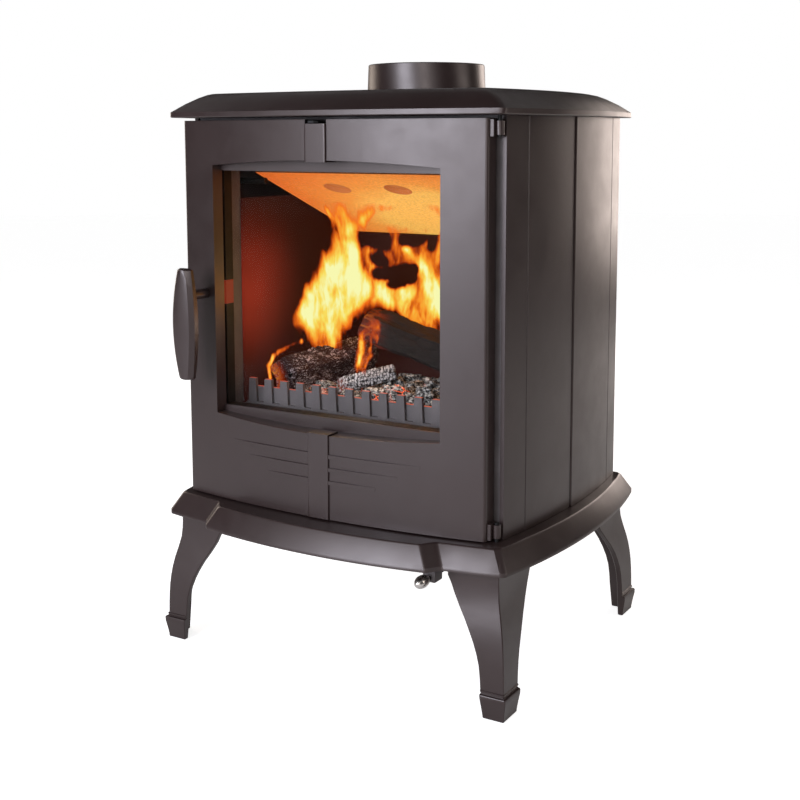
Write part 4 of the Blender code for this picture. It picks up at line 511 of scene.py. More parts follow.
WEARS = {
    paint: ("base_plate", "top_plate", "flue_collar", "back_panel", "door_casting", "door_handle",
            *four("side_panel"), *four("leg")),
    iron: ("front_frame", "firebox_floor", "grate", "air_guide", "ash_pan_runner_left",
           "ash_pan_runner_right"),
    lit_iron: ("log_fence",),
    black: (*four("tie_rod"), *four("leg_bolt"), "glass_retainer_bottom", "glass_retainer_top",
            "glass_retainer_right", "glass_retainer_left_lower", "glass_retainer_left_upper",
            "handle_spindle", "latch_cam", "air_slider", "air_plate_strap", "baffle_peg_left",
            "baffle_peg_right", "ash_pan", "hinge_pin_upper", "hinge_pin_lower", "air_wash_slider"),
    bright: ("air_knob",),
}


def wear(node, material):
    slots = nodes[node].data.materials
    slots.clear()
    slots.append(material)


for material, names in WEARS.items():
    for name in names:
        wear(name, material)
    print(material.name, "on", len(names), "nodes")

# %% [markdown]
# ## The seal and the glass
#
# The rope is black glass fibre with a twisted lay, and hardly shows, so a bump of slanted stripes is
# enough. The pane is clear: light goes straight through it, and a little is mirrored, more so at a
# slant. A shader that bends light would cost time and change nothing on a flat pane.

# %% Make rope and glass


def seal_rope():
    finish = Finish("rope_seal", (0.03, 0.028, 0.027), 0.9)
    inputs = {"Vector": finish.place, "Scale": 120.0, "Distortion": 1.5}
    lay = finish.add("ShaderNodeTexWave", inputs, bands_direction="DIAGONAL").outputs["Fac"]
    finish.set("Normal", finish.bump(lay, 0.6, 0.001))
    return finish.material


def clear_pane():
    finish = Finish("clear_pane", (1.0, 1.0, 1.0), 0.02)
    through = finish.add("ShaderNodeBsdfTransparent", {"Color": (0.97, 0.97, 0.97)}).outputs["BSDF"]
    mirror = finish.add("ShaderNodeBsdfGlossy", {"Roughness": 0.03}).outputs["BSDF"]
    slant = finish.add("ShaderNodeFresnel", {"IOR": 1.10}).outputs["Fac"]
    finish.surface(finish.mix(slant, through, mirror))
    return finish.material


wear("door_rope", seal_rope())
wear("door_glass", clear_pane())
print("seal:", nodes["door_rope"].active_material.name, "pane:", nodes["door_glass"].active_material.name)

# %% [markdown]
# ## The upright boards and the guard plate
#
# Boards of pressed mineral line the fire. The fire lights them dark red, most at the height of the
# latch, and the steel plate that guards the latch takes the same light. Lamps inside the stove are too
# few to throw that much red about, so that red light is painted: the boards and the plate glow a little.

# %% Make the upright boards
FRONT = -0.1545
PAINTED_GLOW_PLACE = (-0.169, FRONT + 0.062, 0.445)
PAINTED_GLOW_REACH = 0.15


def side_board():
    finish = Finish("side_board", (0.016, 0.006, 0.0045), 0.85, specular=0.2)
    finish.set("Normal", finish.bump(finish.noise(160.0, 4.0, 0.6), 0.2, 0.0008))
    # painted fire light: a red glow, strongest round one place at the latch's height and faint all over
    painted_glow = finish.sum("POWER", finish.near(PAINTED_GLOW_PLACE, PAINTED_GLOW_REACH), 1.6)
    haze = finish.between(finish.noise(14.0, 3.0, 0.6), 0.2, 0.8, 0.8, 1.1)
    share = finish.sum("MULTIPLY", painted_glow, haze)
    finish.glow((0.30, 0.024, 0.010), finish.sum("MULTIPLY_ADD", share, 0.78, 0.040))
    return finish.material


def guard_plate():
    finish = Finish("fire_lit_steel", (0.020, 0.012, 0.010), 0.6, specular=0.3)
    # painted fire light: the plate glows an even red
    finish.glow((0.30, 0.030, 0.012), 0.62)
    return finish.material


for name in ("side_liner_left", "side_liner_right", "back_liner"):
    wear(name, side_board())
wear("latch_guard", guard_plate())
print("depths in the fire count from", FRONT, "and the stain reaches", PAINTED_GLOW_REACH, "round", PAINTED_GLOW_PLACE)

# %% [markdown]
# ## The glowing board
#
# A sloping board hangs over the fire and turns the smoke forward. Its underside has the painted orange
# light of the fire below it, brightest over the flames, and three shallow round recesses in it have painted
# shade and stay darker. The painted light must stay off its top and its edges, so it shows only on faces
# that look along the underside's own normal, and inside the recesses. Those are masked in the board's
# own plane, because a ball round each would cut a ring.

# %% Make the glowing board
BOARD_FRONT = (FRONT + 0.0755, 0.5915)
BOARD_REAR = (FRONT + 0.300, 0.5025)
BOARD_SLOPE = math.atan2(BOARD_FRONT[1] - BOARD_REAR[1], BOARD_REAR[0] - BOARD_FRONT[0])
# The painted fire light on the board: its brightest place, its reach and its colours from dim to bright
BOARD_LIGHT_PLACE = (0.03, FRONT + 0.23, 0.52)
BOARD_LIGHT_REACH = 0.30
BOARD_LIGHT_COLOURS = [(0.10, (0.72, 0.11, 0.012)), (0.42, (0.86, 0.19, 0.025)), (0.80, (0.93, 0.36, 0.060)),
               (1.0, (1.0, 0.58, 0.12))]
RECESS_MIDDLES = (-0.074, 0.015, 0.104)
RECESS_DEEP = FRONT + 0.127
RECESS_HEIGHT = 0.5711
RECESS_REACH = 0.0190
# the darker colour of the painted shade inside the recesses
RECESS_SHADE_COLOUR = (0.42, 0.13, 0.035)


def in_recess(finish):
    """1 inside a recess and 0 outside, however deep in the board the place is."""
    level = finish.stretched((1.0, 1.0, 1.0), (BOARD_SLOPE, 0.0, 0.0))
    flat = finish.stretched((1.0, 1.0, 0.0), vector=level)
    along = RECESS_DEEP * math.cos(BOARD_SLOPE) - RECESS_HEIGHT * math.sin(BOARD_SLOPE)
    inside = 0.0
    for x in RECESS_MIDDLES:
        hollow = finish.near((x, along, 0.0), RECESS_REACH, flat)
        inside = finish.sum("MAXIMUM", inside, finish.between(hollow, 0.004, 0.012))
    return inside


def glowing_board():
    finish = Finish("glowing_board", (0.30, 0.10, 0.03), 0.9, specular=0.1)
    grain = finish.noise(330.0, 3.0, 0.7)
    # painted fire light: brightest round one place over the flames, fading with distance from it
    close = finish.sum("MULTIPLY", finish.near(BOARD_LIGHT_PLACE, BOARD_LIGHT_REACH), 1.12)
    heat = finish.sum("MULTIPLY_ADD", finish.noise(22.0, 4.0, 0.6), 0.30, close)
    fine = finish.ramp(grain, [(0.35, 0.72), (0.65, 1.10)])
    colour = finish.blend(1.0, finish.ramp(heat, BOARD_LIGHT_COLOURS), fine, "MULTIPLY")
    inside = in_recess(finish)
    down = (0.0, -math.sin(BOARD_SLOPE), -math.cos(BOARD_SLOPE))
    inputs = {0: finish.add("ShaderNodeNewGeometry").outputs["Normal"], 1: down}
    under = finish.add("ShaderNodeVectorMath", inputs, operation="DOT_PRODUCT").outputs["Value"]
    lit = finish.sum("MAXIMUM", finish.between(under, 0.3, 0.6), inside)
    # painted shade: inside the recesses the painted fire light takes a darker colour
    finish.glow(finish.blend(inside, colour, RECESS_SHADE_COLOUR), finish.sum("MULTIPLY", lit, 0.86))
    finish.set("Normal", finish.bump(grain, 0.5, 0.001))
    return finish.material


wear("baffle_plate", glowing_board())
print("the board slopes", round(math.degrees(BOARD_SLOPE), 2), "degrees")

# %% [markdown]
# ## The logs
#
# Each log in the frame is a plain bar. It is replaced by a finer one in the same place: the same axis
# and radius, but split to flat faces, with the surface broken into blocks of char. Sculpting them by
# hand would look as good, but a formula can be changed. The blocks are cells of Voronoi noise, longer
# along the grain, and the cracks between them are sunk a millimetre or two. The depth of each crack is
# kept on the mesh, so that the finish can find it.

# %% Shape the skin of a log
FLOOR_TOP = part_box("firebox_floor")[1].z
CRACK_WIDTH = 0.22
SKIN_ROUGH = 0.0006
END_CRACK = 0.0012


def crack_depth(place, cell, stretch):
    """1 on the line between two char blocks, 0 inside a block."""
    scaled = Vector((place.x / (cell * stretch), place.y / cell, place.z / cell))
    near = noise.voronoi(scaled)[0]
    return 1.0 - min(1.0, (near[1] - near[0]) / CRACK_WIDTH)


def split_face(turn, count, phase):
    """How near a split log's flat face is to its axis, as a share of its radius at the corners."""
    part = 2 * math.pi / count
    off = (turn - phase) % part - part / 2
    return max(math.cos(part / 2) / math.cos(off), 0.0)


def log_point(t, turn, shape, centre, splits, depth, cell, stretch):
    """A point of the log's skin at a share t of its length, with its cracks and its roughness."""
    (start, along, length), (across, upward), (thick, seed) = shape
    rough = 1 + 0.09 * math.sin(3 * turn + seed) + 0.05 * math.sin(5 * turn + 15.3 * t + seed)
    taper = 0.90 + 0.10 * min(1.0, 9 * t, 9 * (1 - t))
    radius = thick * rough * taper * split_face(turn, *splits) * (1 - centre)
    local = Vector((t * length, radius * math.cos(turn), radius * math.sin(turn)))
    sink = depth * crack_depth(local + Vector((seed, 0, 0)), cell, stretch)
    sink += SKIN_ROUGH * (1 + noise.noise(local * 300.0))
    radius = max(0.0, radius - sink * (1 - centre))
    end = 0.0
    if centre > 0:
        end = END_CRACK * crack_depth(local * 1.7, cell, 1.0) * (-1 if t > 0.5 else 1)
    outward = across * math.cos(turn) + upward * math.sin(turn)
    return start + along * (t + end / length) + outward * radius, sink / (depth + 2 * SKIN_ROUGH)


print("the fire's floor is at", round(FLOOR_TOP, 4))

# %% [markdown]
# ## From skin to log
#
# A log is a tube of rings, a little over a millimetre apart, closed at each end by four smaller rings
# and a last flat face. Such a fine mesh is heavy, but it holds the cracks as real shape, which catch
# the light of the fire.

# %% Build a charred log
LOG_FACET = 0.0012
END_RINGS = (0.97, 0.85, 0.6, 0.3)


def in_fire(point):
    """A place in the fire, from its X, its depth behind the front's chord and its height."""
    return Vector((point[0], FRONT + point[1], FLOOR_TOP + point[2]))


def char_log(name, first, last, thick, seed, splits, depth, cell, stretch):
    """A closed log between two points of the fire, and the way that it points."""
    start = in_fire(first)
    along = in_fire(last) - start
    across = along.cross(Vector((0, 0, 1))).normalized()
    upward = across.cross(along).normalized()
    shape = ((start, along, along.length), (across, upward), (thick, seed))
    count = max(60, round(along.length / LOG_FACET))
    sides = max(60, round(2 * math.pi * thick / LOG_FACET))
    steps = [(0.0, ring) for ring in END_RINGS[::-1]]
    steps += [(i / count, 0.0) for i in range(count + 1)]
    steps += [(1.0, ring) for ring in END_RINGS]
    made = [log_point(t, 2 * math.pi * j / sides, shape, centre, splits, depth, cell, stretch)
            for t, centre in steps for j in range(sides)]
    faces = []
    for i in range(len(steps) - 1):
        low = i * sides
        high = low + sides
        faces += [(low + j, low + (j + 1) % sides, high + (j + 1) % sides, high + j) for j in range(sides)]
    faces += [tuple(range(sides))[::-1], tuple(range((len(steps) - 1) * sides, len(steps) * sides))]
    mesh = bpy.data.meshes.new(name)
    mesh.from_pydata([place for place, _ in made], [], faces)
    mesh.attributes.new("crackle", "FLOAT", "POINT").data.foreach_set("value", [sunk for _, sunk in made])
    mesh.shade_smooth()
    return put(name, mesh), along


print("facets of a log:", LOG_FACET * 1000, "mm")

# %% [markdown]
# ## Char, ash and embers
#
# Burnt wood is black to grey-brown, flecked with white ash where a block has burnt through, and glows
# orange in its cracks. The flecks are noise that is stretched along the grain, so each log turns its
# own coordinates until X runs along it. Where a log shows bands of ash across it, a wavy stripe thins
# the flecks between them. The glow is held to one place of each log, where it lies in the embers.

# %% Make the charred finish


def ash_bands(finish, white, yaw, bands):
    """Thins the ash in wavy stripes across the log."""
    inputs = {"Vector": finish.stretched((1.0, 1.0, 1.0), (0.0, 0.0, yaw)), "Scale": bands,
              "Distortion": 5.0, "Detail": 3.0, "Detail Scale": 2.0}
    rings = finish.add("ShaderNodeTexWave", inputs, bands_direction="X").outputs["Fac"]
    return finish.sum("MULTIPLY", white, finish.between(rings, 0.02, 0.35, 0.18, 1.0), clamp=True)


def charred(name, along, dark, ash, ash_share, glow_place, glow_reach, glow_power, bands=0.0):
    """Char with ash flecks along the grain, and a glow round one place."""
    finish = Finish(name, dark, 0.9, specular=0.2)
    yaw = -math.atan2(along.y, along.x)
    flecks = finish.noise(210.0, 5.0, 0.72, 0.4, finish.stretched((1.0, 2.6, 2.6), (0.0, 0.0, yaw)))
    amount = finish.sum("MULTIPLY_ADD", finish.noise(34.0, 3.0, 0.6), 0.35, flecks)
    white = finish.between(amount, 0.86 - 0.30 * ash_share, 0.96 - 0.26 * ash_share)
    if bands:
        white = ash_bands(finish, white, yaw, bands)
    crackle = finish.add("ShaderNodeAttribute", attribute_name="crackle").outputs["Fac"]
    white = finish.sum("MULTIPLY", white, finish.between(crackle, 0.25, 0.65, 1.0, 0.0))
    finish.set("Base Color", finish.blend(white, dark, ash))
    finish.set("Normal", finish.bump(flecks, 0.5, 0.0010))
    spot = finish.near(glow_place, glow_reach)
    fire = finish.sum("MULTIPLY", spot, finish.between(crackle, 0.10, 0.70, 0.25, 1.0))
    hot = finish.ramp(fire, [(0.0, (0.35, 0.01, 0.0)), (0.4, (1.0, 0.09, 0.008)), (1.0, (1.0, 0.42, 0.06))])
    finish.glow(hot, finish.sum("MULTIPLY", fire, glow_power))
    return finish.material


# %% [markdown]
# ## Four logs
#
# One split log lies at the left from front to back, one lies behind it across the fire, and two thin
# ones lie before them. One table says where each lies, one how coarse its char is, and one how it has
# burnt: the left one is dark brown, the one behind is nearly black, and the thin ones are pale with ash.

# %% Lay the four logs
LOGS = (
    ("log_left", (-0.129, 0.082, 0.034), (-0.093, 0.226, 0.045), 0.029, 0.0),
    ("log_right", (-0.070, 0.188, 0.091), (0.128, 0.204, 0.0352), 0.026, 2.1),
    ("log_front", (-0.060, 0.106, 0.0235), (0.002, 0.142, 0.0425), 0.0115, 4.2),
    ("log_small", (-0.014, 0.098, 0.021), (0.078, 0.094, 0.019), 0.009, 1.3),
)
CARVING = {
    "log_left": ((5, 0.35), 0.0018, 0.0075, 2.2),
    "log_right": ((5, 0.75), 0.0012, 0.0110, 3.0),
    "log_front": ((6, 0.2), 0.0014, 0.0042, 0.8),
    "log_small": ((6, 0.0), 0.0012, 0.0050, 1.2),
}
BURNS = {
    "log_left": ((0.026, 0.010, 0.009), (0.50, 0.40, 0.40), 0.62,
                 (-0.152, FRONT + 0.085, 0.330), 0.036, 0.6),
    "log_right": ((0.013, 0.010, 0.009), (0.055, 0.042, 0.038), 0.40,
                  (-0.074, FRONT + 0.182, 0.385), 0.055, 0.45),
    "log_front": ((0.020, 0.017, 0.016), (0.50, 0.49, 0.50), 1.15,
                  (-0.060, FRONT + 0.106, 0.320), 0.02, 0.3, 78.0),
    "log_small": ((0.022, 0.020, 0.019), (0.62, 0.60, 0.56), 0.90,
                  (0.078, FRONT + 0.094, 0.315), 0.02, 0.5),
}
for name, first, last, thick, seed in LOGS:
    log, along = char_log("charred_" + name, first, last, thick, seed, *CARVING[name])
    log.data.materials.append(charred("char_" + name, along, *BURNS[name]))
    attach(log, "stove")
    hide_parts(name)
    print(log.name, len(log.data.polygons), "faces")

# %% [markdown]
# ## A piece of charcoal
#
# Charcoal breaks into blocks with a few flat faces and rounded corners. A box with bevels would look
# too even, so each piece is a ball that seven planes cut at random, stretched to its size and roughened
# by noise, with fine cracks along the cells of Voronoi noise.

# %% Shape a piece of charcoal
CUTS = 7
BROKEN_SHAPES = ((1.0, 1.9), (0.75, 1.0), (0.6, 0.85))


def unit_ball(steps):
    """The points and faces of a ball of a fineness."""
    bm = bmesh.new()
    bmesh.ops.create_icosphere(bm, subdivisions=steps, radius=1.0)
    points = [v.co.copy() for v in bm.verts]
    faces = [[v.index for v in f.verts] for f in bm.faces]
    bm.free()
    return points, faces


def lump(ball, place, size, dice, shape=None, yaw=None):
    """The points of one piece: blocky, with facets where it broke, and roughened."""
    spin = dice.uniform(0, 2 * math.pi) if yaw is None else yaw
    turn = Matrix.Rotation(spin, 4, "Z") @ Matrix.Rotation(dice.uniform(-0.5, 0.5), 4, "X")
    if shape is None:
        shape = Vector([size * dice.uniform(*share) for share in BROKEN_SHAPES])
    offset = Vector([dice.uniform(-9, 9) for _ in range(3)])
    cuts = []
    for _ in range(CUTS):
        side = Vector([dice.uniform(-1, 1) for _ in range(3)]).normalized()
        cuts.append((side, dice.uniform(0.55, 0.8)))
    made = []
    for way in ball:
        reach = min([1.0] + [depth / max(way.dot(side), 0.05) for side, depth in cuts])
        near = noise.voronoi(way * 2.1 + offset)[0]
        reach -= 0.09 * (1.0 - min(1.0, (near[1] - near[0]) / 0.14))
        reach += 0.05 * noise.noise(way * 4.0 + offset) + 0.035 * noise.noise(way * 11.0 + offset)
        made.append(place + turn @ Vector((way.x * shape.x, way.y * shape.y, way.z * shape.z)) * reach)
    return made


balls = {steps: unit_ball(steps) for steps in (3, 4, 5)}
print("balls:", {steps: len(ball[1]) for steps, ball in balls.items()}, "faces")

# %% [markdown]
# ## The bed of charcoal
#
# Between the logs and the fence lies broken charcoal, grey and cream with ash. CHUNKS gives the large
# blocks their X, depth behind the front's chord, half length, half height and turn. Smaller pieces are
# thrown at random, largest first: HEAP gives their sizes, the number of tries and their depths. One
# that would meet a log or another piece is dropped. Each sits on the bed, which a ray from above finds.

# %% Find a free place on the bed
CHUNKS = (
    (-0.0768, 0.08, 0.0253, 0.0096, 0.25),
    (-0.0953, 0.076, 0.0121, 0.0071, 1.2),
    (0.0295, 0.1, 0.0182, 0.0135, 0.5),
    (0.0719, 0.1, 0.017, 0.0153, -0.5),
    (0.0264, 0.078, 0.0388, 0.0064, 0.12),
    (0.0069, 0.084, 0.0121, 0.0084, 0.2),
    (0.0718, 0.08, 0.0145, 0.0084, -0.3),
    (-0.0574, 0.078, 0.0145, 0.0064, 0),
    (0.0941, 0.072, 0.0121, 0.0071, 0.4),
    (0.088, 0.086, 0.019, 0.0085, 0.6),
    (0.118, 0.079, 0.02, 0.0095, -0.4),
    (0.128, 0.112, 0.017, 0.009, 0.9),
    (0.098, 0.118, 0.021, 0.0095, 0.1),
    (-0.06, 0.082, 0.015, 0.0075, 0.4),
)
HEAP = (
    ((0.010, 0.014), 120, (0.074, 0.120)),
    ((0.006, 0.010), 400, (0.072, 0.20)),
    ((0.003, 0.006), 700, (0.070, 0.22)),
)
HEAP_HALF_WIDTH = 0.146


def bed_height(x, y):
    """The height of the ember bed's top under a point, by looking down on it."""
    hit, place, *_ = nodes["ember_bed"].ray_cast(Vector((x, y, 1.0)), Vector((0, 0, -1)))
    return place.z if hit else None


def is_free(place, size, laid):
    """Whether a piece of a size would stay clear of the logs and of the pieces that lie already."""
    for _, first, last, thick, _ in LOGS:
        start = in_fire(first)
        along = in_fire(last) - start
        share = max(0.0, min(1.0, (place - start).dot(along) / along.length_squared))
        if (place - (start + along * share)).length < thick * 0.8 + size * 0.6:
            return False
    return all((place - other).length > 0.75 * (size + reach) for other, reach in laid)


print("blocks:", len(CHUNKS), "tries at random:", sum(tries for _, tries, _ in HEAP))

# %% [markdown]
# ## One mesh for the heap
#
# Each loose piece could be an object of its own. But they never move apart, so they go into one mesh,
# which is quick to draw. A fixed seed keeps them in place from run to run.

# %% Heap up the charcoal


def charcoal_heap():
    dice = random.Random(7)
    points = []
    faces = []
    laid = []

    def lay(fineness, place, size, shape=None, yaw=None):
        ball, ball_faces = balls[fineness]
        faces.extend([i + len(points) for i in face] for face in ball_faces)
        points.extend(lump(ball, place, size, dice, shape, yaw))
        laid.append((place, size))

    for x, deep, long_half, high_half, yaw in CHUNKS:
        top = bed_height(x, FRONT + deep)
        place = Vector((x, FRONT + deep, top + high_half * 0.80))
        lay(5, place, high_half, Vector((long_half, high_half * 1.05, high_half)), yaw)
    for sizes, tries, depths in HEAP:
        for _ in range(tries):
            x = dice.uniform(-HEAP_HALF_WIDTH, HEAP_HALF_WIDTH)
            y = FRONT + dice.uniform(*depths)
            size = dice.uniform(*sizes)
            top = bed_height(x, y)
            if top is None:
                continue
            place = Vector((x, y, top + size * 0.35))
            if is_free(place, size, laid):
                lay(4 if size > 0.0085 else 3, place, size)
    mesh = bpy.data.meshes.new("charcoal_pieces")
    mesh.from_pydata(points, [], faces)
    mesh.shade_smooth()
    print("charcoal pieces:", len(laid), "faces:", len(mesh.polygons))
    return put("charcoal_pieces", mesh)


heap = charcoal_heap()
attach(heap, "stove")

# %% [markdown]
# ## Ashy charcoal
#
# Flecks of ash, grey in some places and cream in others, lie on black charcoal. Thin seams glow red in
# a few places only, as the heart of a dying ember does. The bed under the pieces wears the same finish,
# so no gap between them shows.

# %% Make the ashy charcoal


def charcoal():
    finish = Finish("ashy_charcoal", (0.02, 0.018, 0.017), 0.95, specular=0.2)
    flecks = finish.noise(260.0, 5.0, 0.75, 0.5)
    tint = finish.ramp(finish.noise(60.0, 2.0), [(0.35, (0.55, 0.60, 0.62)), (0.60, (0.70, 0.66, 0.58))])
    white = finish.between(flecks, 0.46, 0.62)
    finish.set("Base Color", finish.blend(white, (0.016, 0.014, 0.013), tint))
    finish.set("Normal", finish.bump(flecks, 0.5, 0.0015))
    inputs = {"Vector": finish.place, "Scale": 70.0}
    edge = finish.add("ShaderNodeTexVoronoi", inputs, feature="DISTANCE_TO_EDGE").outputs["Distance"]
    seams = finish.between(edge, 0.0, 0.05, 1.0, 0.0)
    hot = finish.sum("MULTIPLY", seams, finish.between(finish.noise(22.0, 2.0), 0.52, 0.70))
    finish.glow((1.0, 0.10, 0.01), finish.sum("MULTIPLY", hot, 1.5))
    return finish.material


ash = charcoal()
heap.data.materials.append(ash)
wear("ember_bed", ash)
print(ash.name, "on", heap.name, "and on the bed")

# %% [markdown]
# ## How hot a place is
#
# A flame is light, not a surface, but a curved sheet can carry it. A simulated fire would never take
# the wanted form, so the heat is drawn: a body by rows of height, left edge, right edge and strength,
# tongues by lines with a width and a strength, and dark gaps by lines too. Rising noise bends them all.

# %% Draw heat on a sheet


def soft_step(value):
    value = max(0.0, min(1.0, value))
    return value * value * (3 - 2 * value)


def body_heat(x, z, rows, edge=0.028):
    """The heat inside a body that is given by rows of height, left, right and strength."""
    if not rows or not rows[0][0] <= z <= rows[-1][0]:
        return 0.0
    for low, high in zip(rows, rows[1:]):
        if z <= high[0]:
            share = (z - low[0]) / (high[0] - low[0])
            left, right, strength = (a + (b - a) * share for a, b in zip(low[1:], high[1:]))
            return strength * soft_step((x - left) / edge) * soft_step((right - x) / edge)
    return 0.0


def line_heat(x, z, line):
    """The heat of a tongue or a gap: its strength along the line, falling to 0 at its width."""
    points, strength = line
    best = 0.0
    for (x0, z0, r0), (x1, z1, r1) in zip(points, points[1:]):
        dx = x1 - x0
        dz = z1 - z0
        share = max(0.0, min(1.0, ((x - x0) * dx + (z - z0) * dz) / (dx * dx + dz * dz + 1e-12)))
        reach = r0 + (r1 - r0) * share
        gap = math.hypot(x - x0 - dx * share, z - z0 - dz * share) / reach
        best = max(best, soft_step(1.0 - gap))
    return strength * best


def sheet_heat(x, z, seed, drawing, fray):
    """Body and tongues together, bent and torn by noise, less the dark gaps."""
    rows, tongues, gaps = drawing
    x += 0.0075 * noise.fractal(Vector((x * 26, z * 13, seed)), 0.8, 2.0, 3)
    z += 0.0050 * noise.noise(Vector((x * 30, z * 18, seed + 7)))
    cold = 1.0 - body_heat(x, z, rows)
    for tongue in tongues:
        cold *= 1.0 - min(0.97, line_heat(x, z, tongue))
    for gap in gaps:
        cold = min(1.0, cold + line_heat(x, z, gap))
    heat = 1.0 - cold
    torn = noise.fractal(Vector((x * 62, z * 21, seed + 3)), 0.75, 2.1, 4)
    return max(0.0, heat + fray * torn * soft_step(heat / 0.25))


# %% [markdown]
# ## The flame finish
#
# The finish turns heat into colour, from deep red to pale yellow, and into clearness, so that a cool
# edge fades out. Noise that is stretched upwards makes the wisps inside. The sheets aren't used as
# lamps, because so many small faces would make the light grainy: small lamps do that later.

# %% Make the flame finish
FLAME_COLOURS = [(0.08, (0.88, 0.060, 0.004)), (0.26, (1.0, 0.11, 0.007)), (0.44, (1.0, 0.21, 0.013)),
                 (0.62, (1.0, 0.42, 0.036)), (0.80, (1.0, 0.78, 0.12)), (0.96, (1.0, 1.0, 0.46))]
WISP_SHARE = 0.24


def flame():
    finish = Finish("flame", (0.0, 0.0, 0.0), 1.0, specular=0.0)
    heat = finish.add("ShaderNodeAttribute", attribute_name="burning").outputs["Fac"]
    wisps = finish.noise(44.0, 4.0, 0.56, 0.8, finish.stretched((1.4, 1.0, 0.42)))
    wisps = finish.between(wisps, 0.30, 0.70, -0.58, 0.42)
    torn = finish.sum("MULTIPLY_ADD", wisps, WISP_SHARE, heat)
    torn = finish.sum("MULTIPLY", torn, finish.between(heat, 0.0, 0.15))
    inputs = {"Color": finish.ramp(torn, FLAME_COLOURS), "Strength": 1.0}
    light = finish.add("ShaderNodeEmission", inputs).outputs["Emission"]
    through = finish.add("ShaderNodeBsdfTransparent").outputs["BSDF"]
    finish.surface(finish.mix(finish.between(torn, 0.07, 0.58), through, light))
    finish.material.cycles.emission_sampling = "NONE"
    return finish.material


flame_finish = flame()
print(flame_finish.name, "has", len(FLAME_COLOURS), "colours")

# %% [markdown]
# ## A sheet of fire
#
# Each sheet is a fine upright grid that bows and leans a little, so that it looks thick from the side.
# Every point keeps its heat, which fades under the sloping board. Only the faces that are hot stay, and
# the mesh is no larger than the fire. Three sheets at three depths give the fire its body.

# %% Make a sheet of fire
ROOF_GAP = 0.003
ROOF_FADE = 0.022
COLDEST = 0.02


def under_board(y):
    """Height of the sloping board's underside."""
    share = (y - BOARD_FRONT[0]) / (BOARD_REAR[0] - BOARD_FRONT[0])
    return BOARD_FRONT[1] + (BOARD_REAR[1] - BOARD_FRONT[1]) * share


def flame_grid(depth, low, high, drawing, size, lean, fray):
    """The places of a sheet's points, row by row, and how hot each is."""
    wide, tall = size
    places = []
    heats = []
    for j in range(tall + 1):
        z = low[1] + (high[1] - low[1]) * j / tall
        for i in range(wide + 1):
            x = low[0] + (high[0] - low[0]) * i / wide
            bend = 0.010 * math.sin(9 * x) + 0.008 * noise.noise(Vector((x * 14, z * 9, depth * 50)))
            y = FRONT + depth + lean * (z - low[1]) + bend
            roof = soft_step((under_board(y) - ROOF_GAP - z) / ROOF_FADE)
            places.append((x, y, z))
            heats.append(roof * sheet_heat(x, z, depth * 90, drawing, fray))
    return places, heats


def flame_sheet(name, depth, low, high, drawing, spacing=0.0018, lean=0.0, fray=0.30):
    """A sheet of fire at a depth behind the front's chord, between two corners given by X and height."""
    wide = round((high[0] - low[0]) / spacing)
    tall = round((high[1] - low[1]) / spacing)
    places, heats = flame_grid(depth, low, high, drawing, (wide, tall), lean, fray)
    row = wide + 1
    keep = []
    for j in range(tall):
        for i in range(wide):
            corners = (j * row + i, j * row + i + 1, (j + 1) * row + i + 1, (j + 1) * row + i)
            if max(heats[c] for c in corners) > COLDEST:
                keep.append(corners)
    used = sorted({c for corners in keep for c in corners})
    index = {c: n for n, c in enumerate(used)}
    mesh = bpy.data.meshes.new(name)
    mesh.from_pydata([places[c] for c in used], [], [[index[c] for c in corners] for corners in keep])
    mesh.attributes.new("burning", "FLOAT", "POINT").data.foreach_set("value", [heats[c] for c in used])
    mesh.shade_smooth()
    mesh.materials.append(flame_finish)
    sheet = put(name, mesh)
    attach(sheet, "stove")
    print(name, len(keep), "faces")
    return sheet


# %% [markdown]
# ## The fire behind the right log
#
# The rear sheet is a wide red body with brighter tongues that rise from behind the right log. Its dark
# gaps matter as much: without them the fire looks like a curtain.

# %% Draw the fire behind the right log
BACK_BODY = (
    (0.360, 0.020, 0.125, 0.20),
    (0.385, -0.030, 0.128, 0.46),
    (0.400, -0.066, 0.126, 0.56),
    (0.415, -0.091, 0.122, 0.56),
    (0.430, -0.112, 0.116, 0.52),
    (0.445, -0.116, 0.112, 0.48),
    (0.460, -0.116, 0.106, 0.45),
    (0.475, -0.116, 0.100, 0.42),
    (0.490, -0.118, 0.094, 0.39),
    (0.505, -0.120, 0.086, 0.35),
    (0.518, -0.120, 0.080, 0.28),
    (0.530, -0.116, 0.074, 0.12),
)
BACK_TONGUES = (
    (((-0.1295, 0.3868, 0.02), (-0.113, 0.4047, 0.02), (-0.0935, 0.4157, 0.02), (-0.0711, 0.4199, 0.018),
      (-0.049, 0.4132, 0.016)), 0.56),
    (((-0.032, 0.487, 0.010), (-0.016, 0.4605, 0.015), (0.000, 0.441, 0.018), (0.013, 0.424, 0.018)), 0.70),
    (((-0.012, 0.438, 0.018), (-0.002, 0.416, 0.020), (0.012, 0.405, 0.018)), 0.95),
    (((-0.100, 0.440, 0.020), (-0.070, 0.430, 0.020), (-0.030, 0.428, 0.018)), 0.45),
    (((0.030, 0.400, 0.020), (0.045, 0.440, 0.020), (0.040, 0.480, 0.012), (0.046, 0.515, 0.007)), 0.62),
    (((0.075, 0.390, 0.020), (0.090, 0.420, 0.018), (0.080, 0.460, 0.010)), 0.55),
)
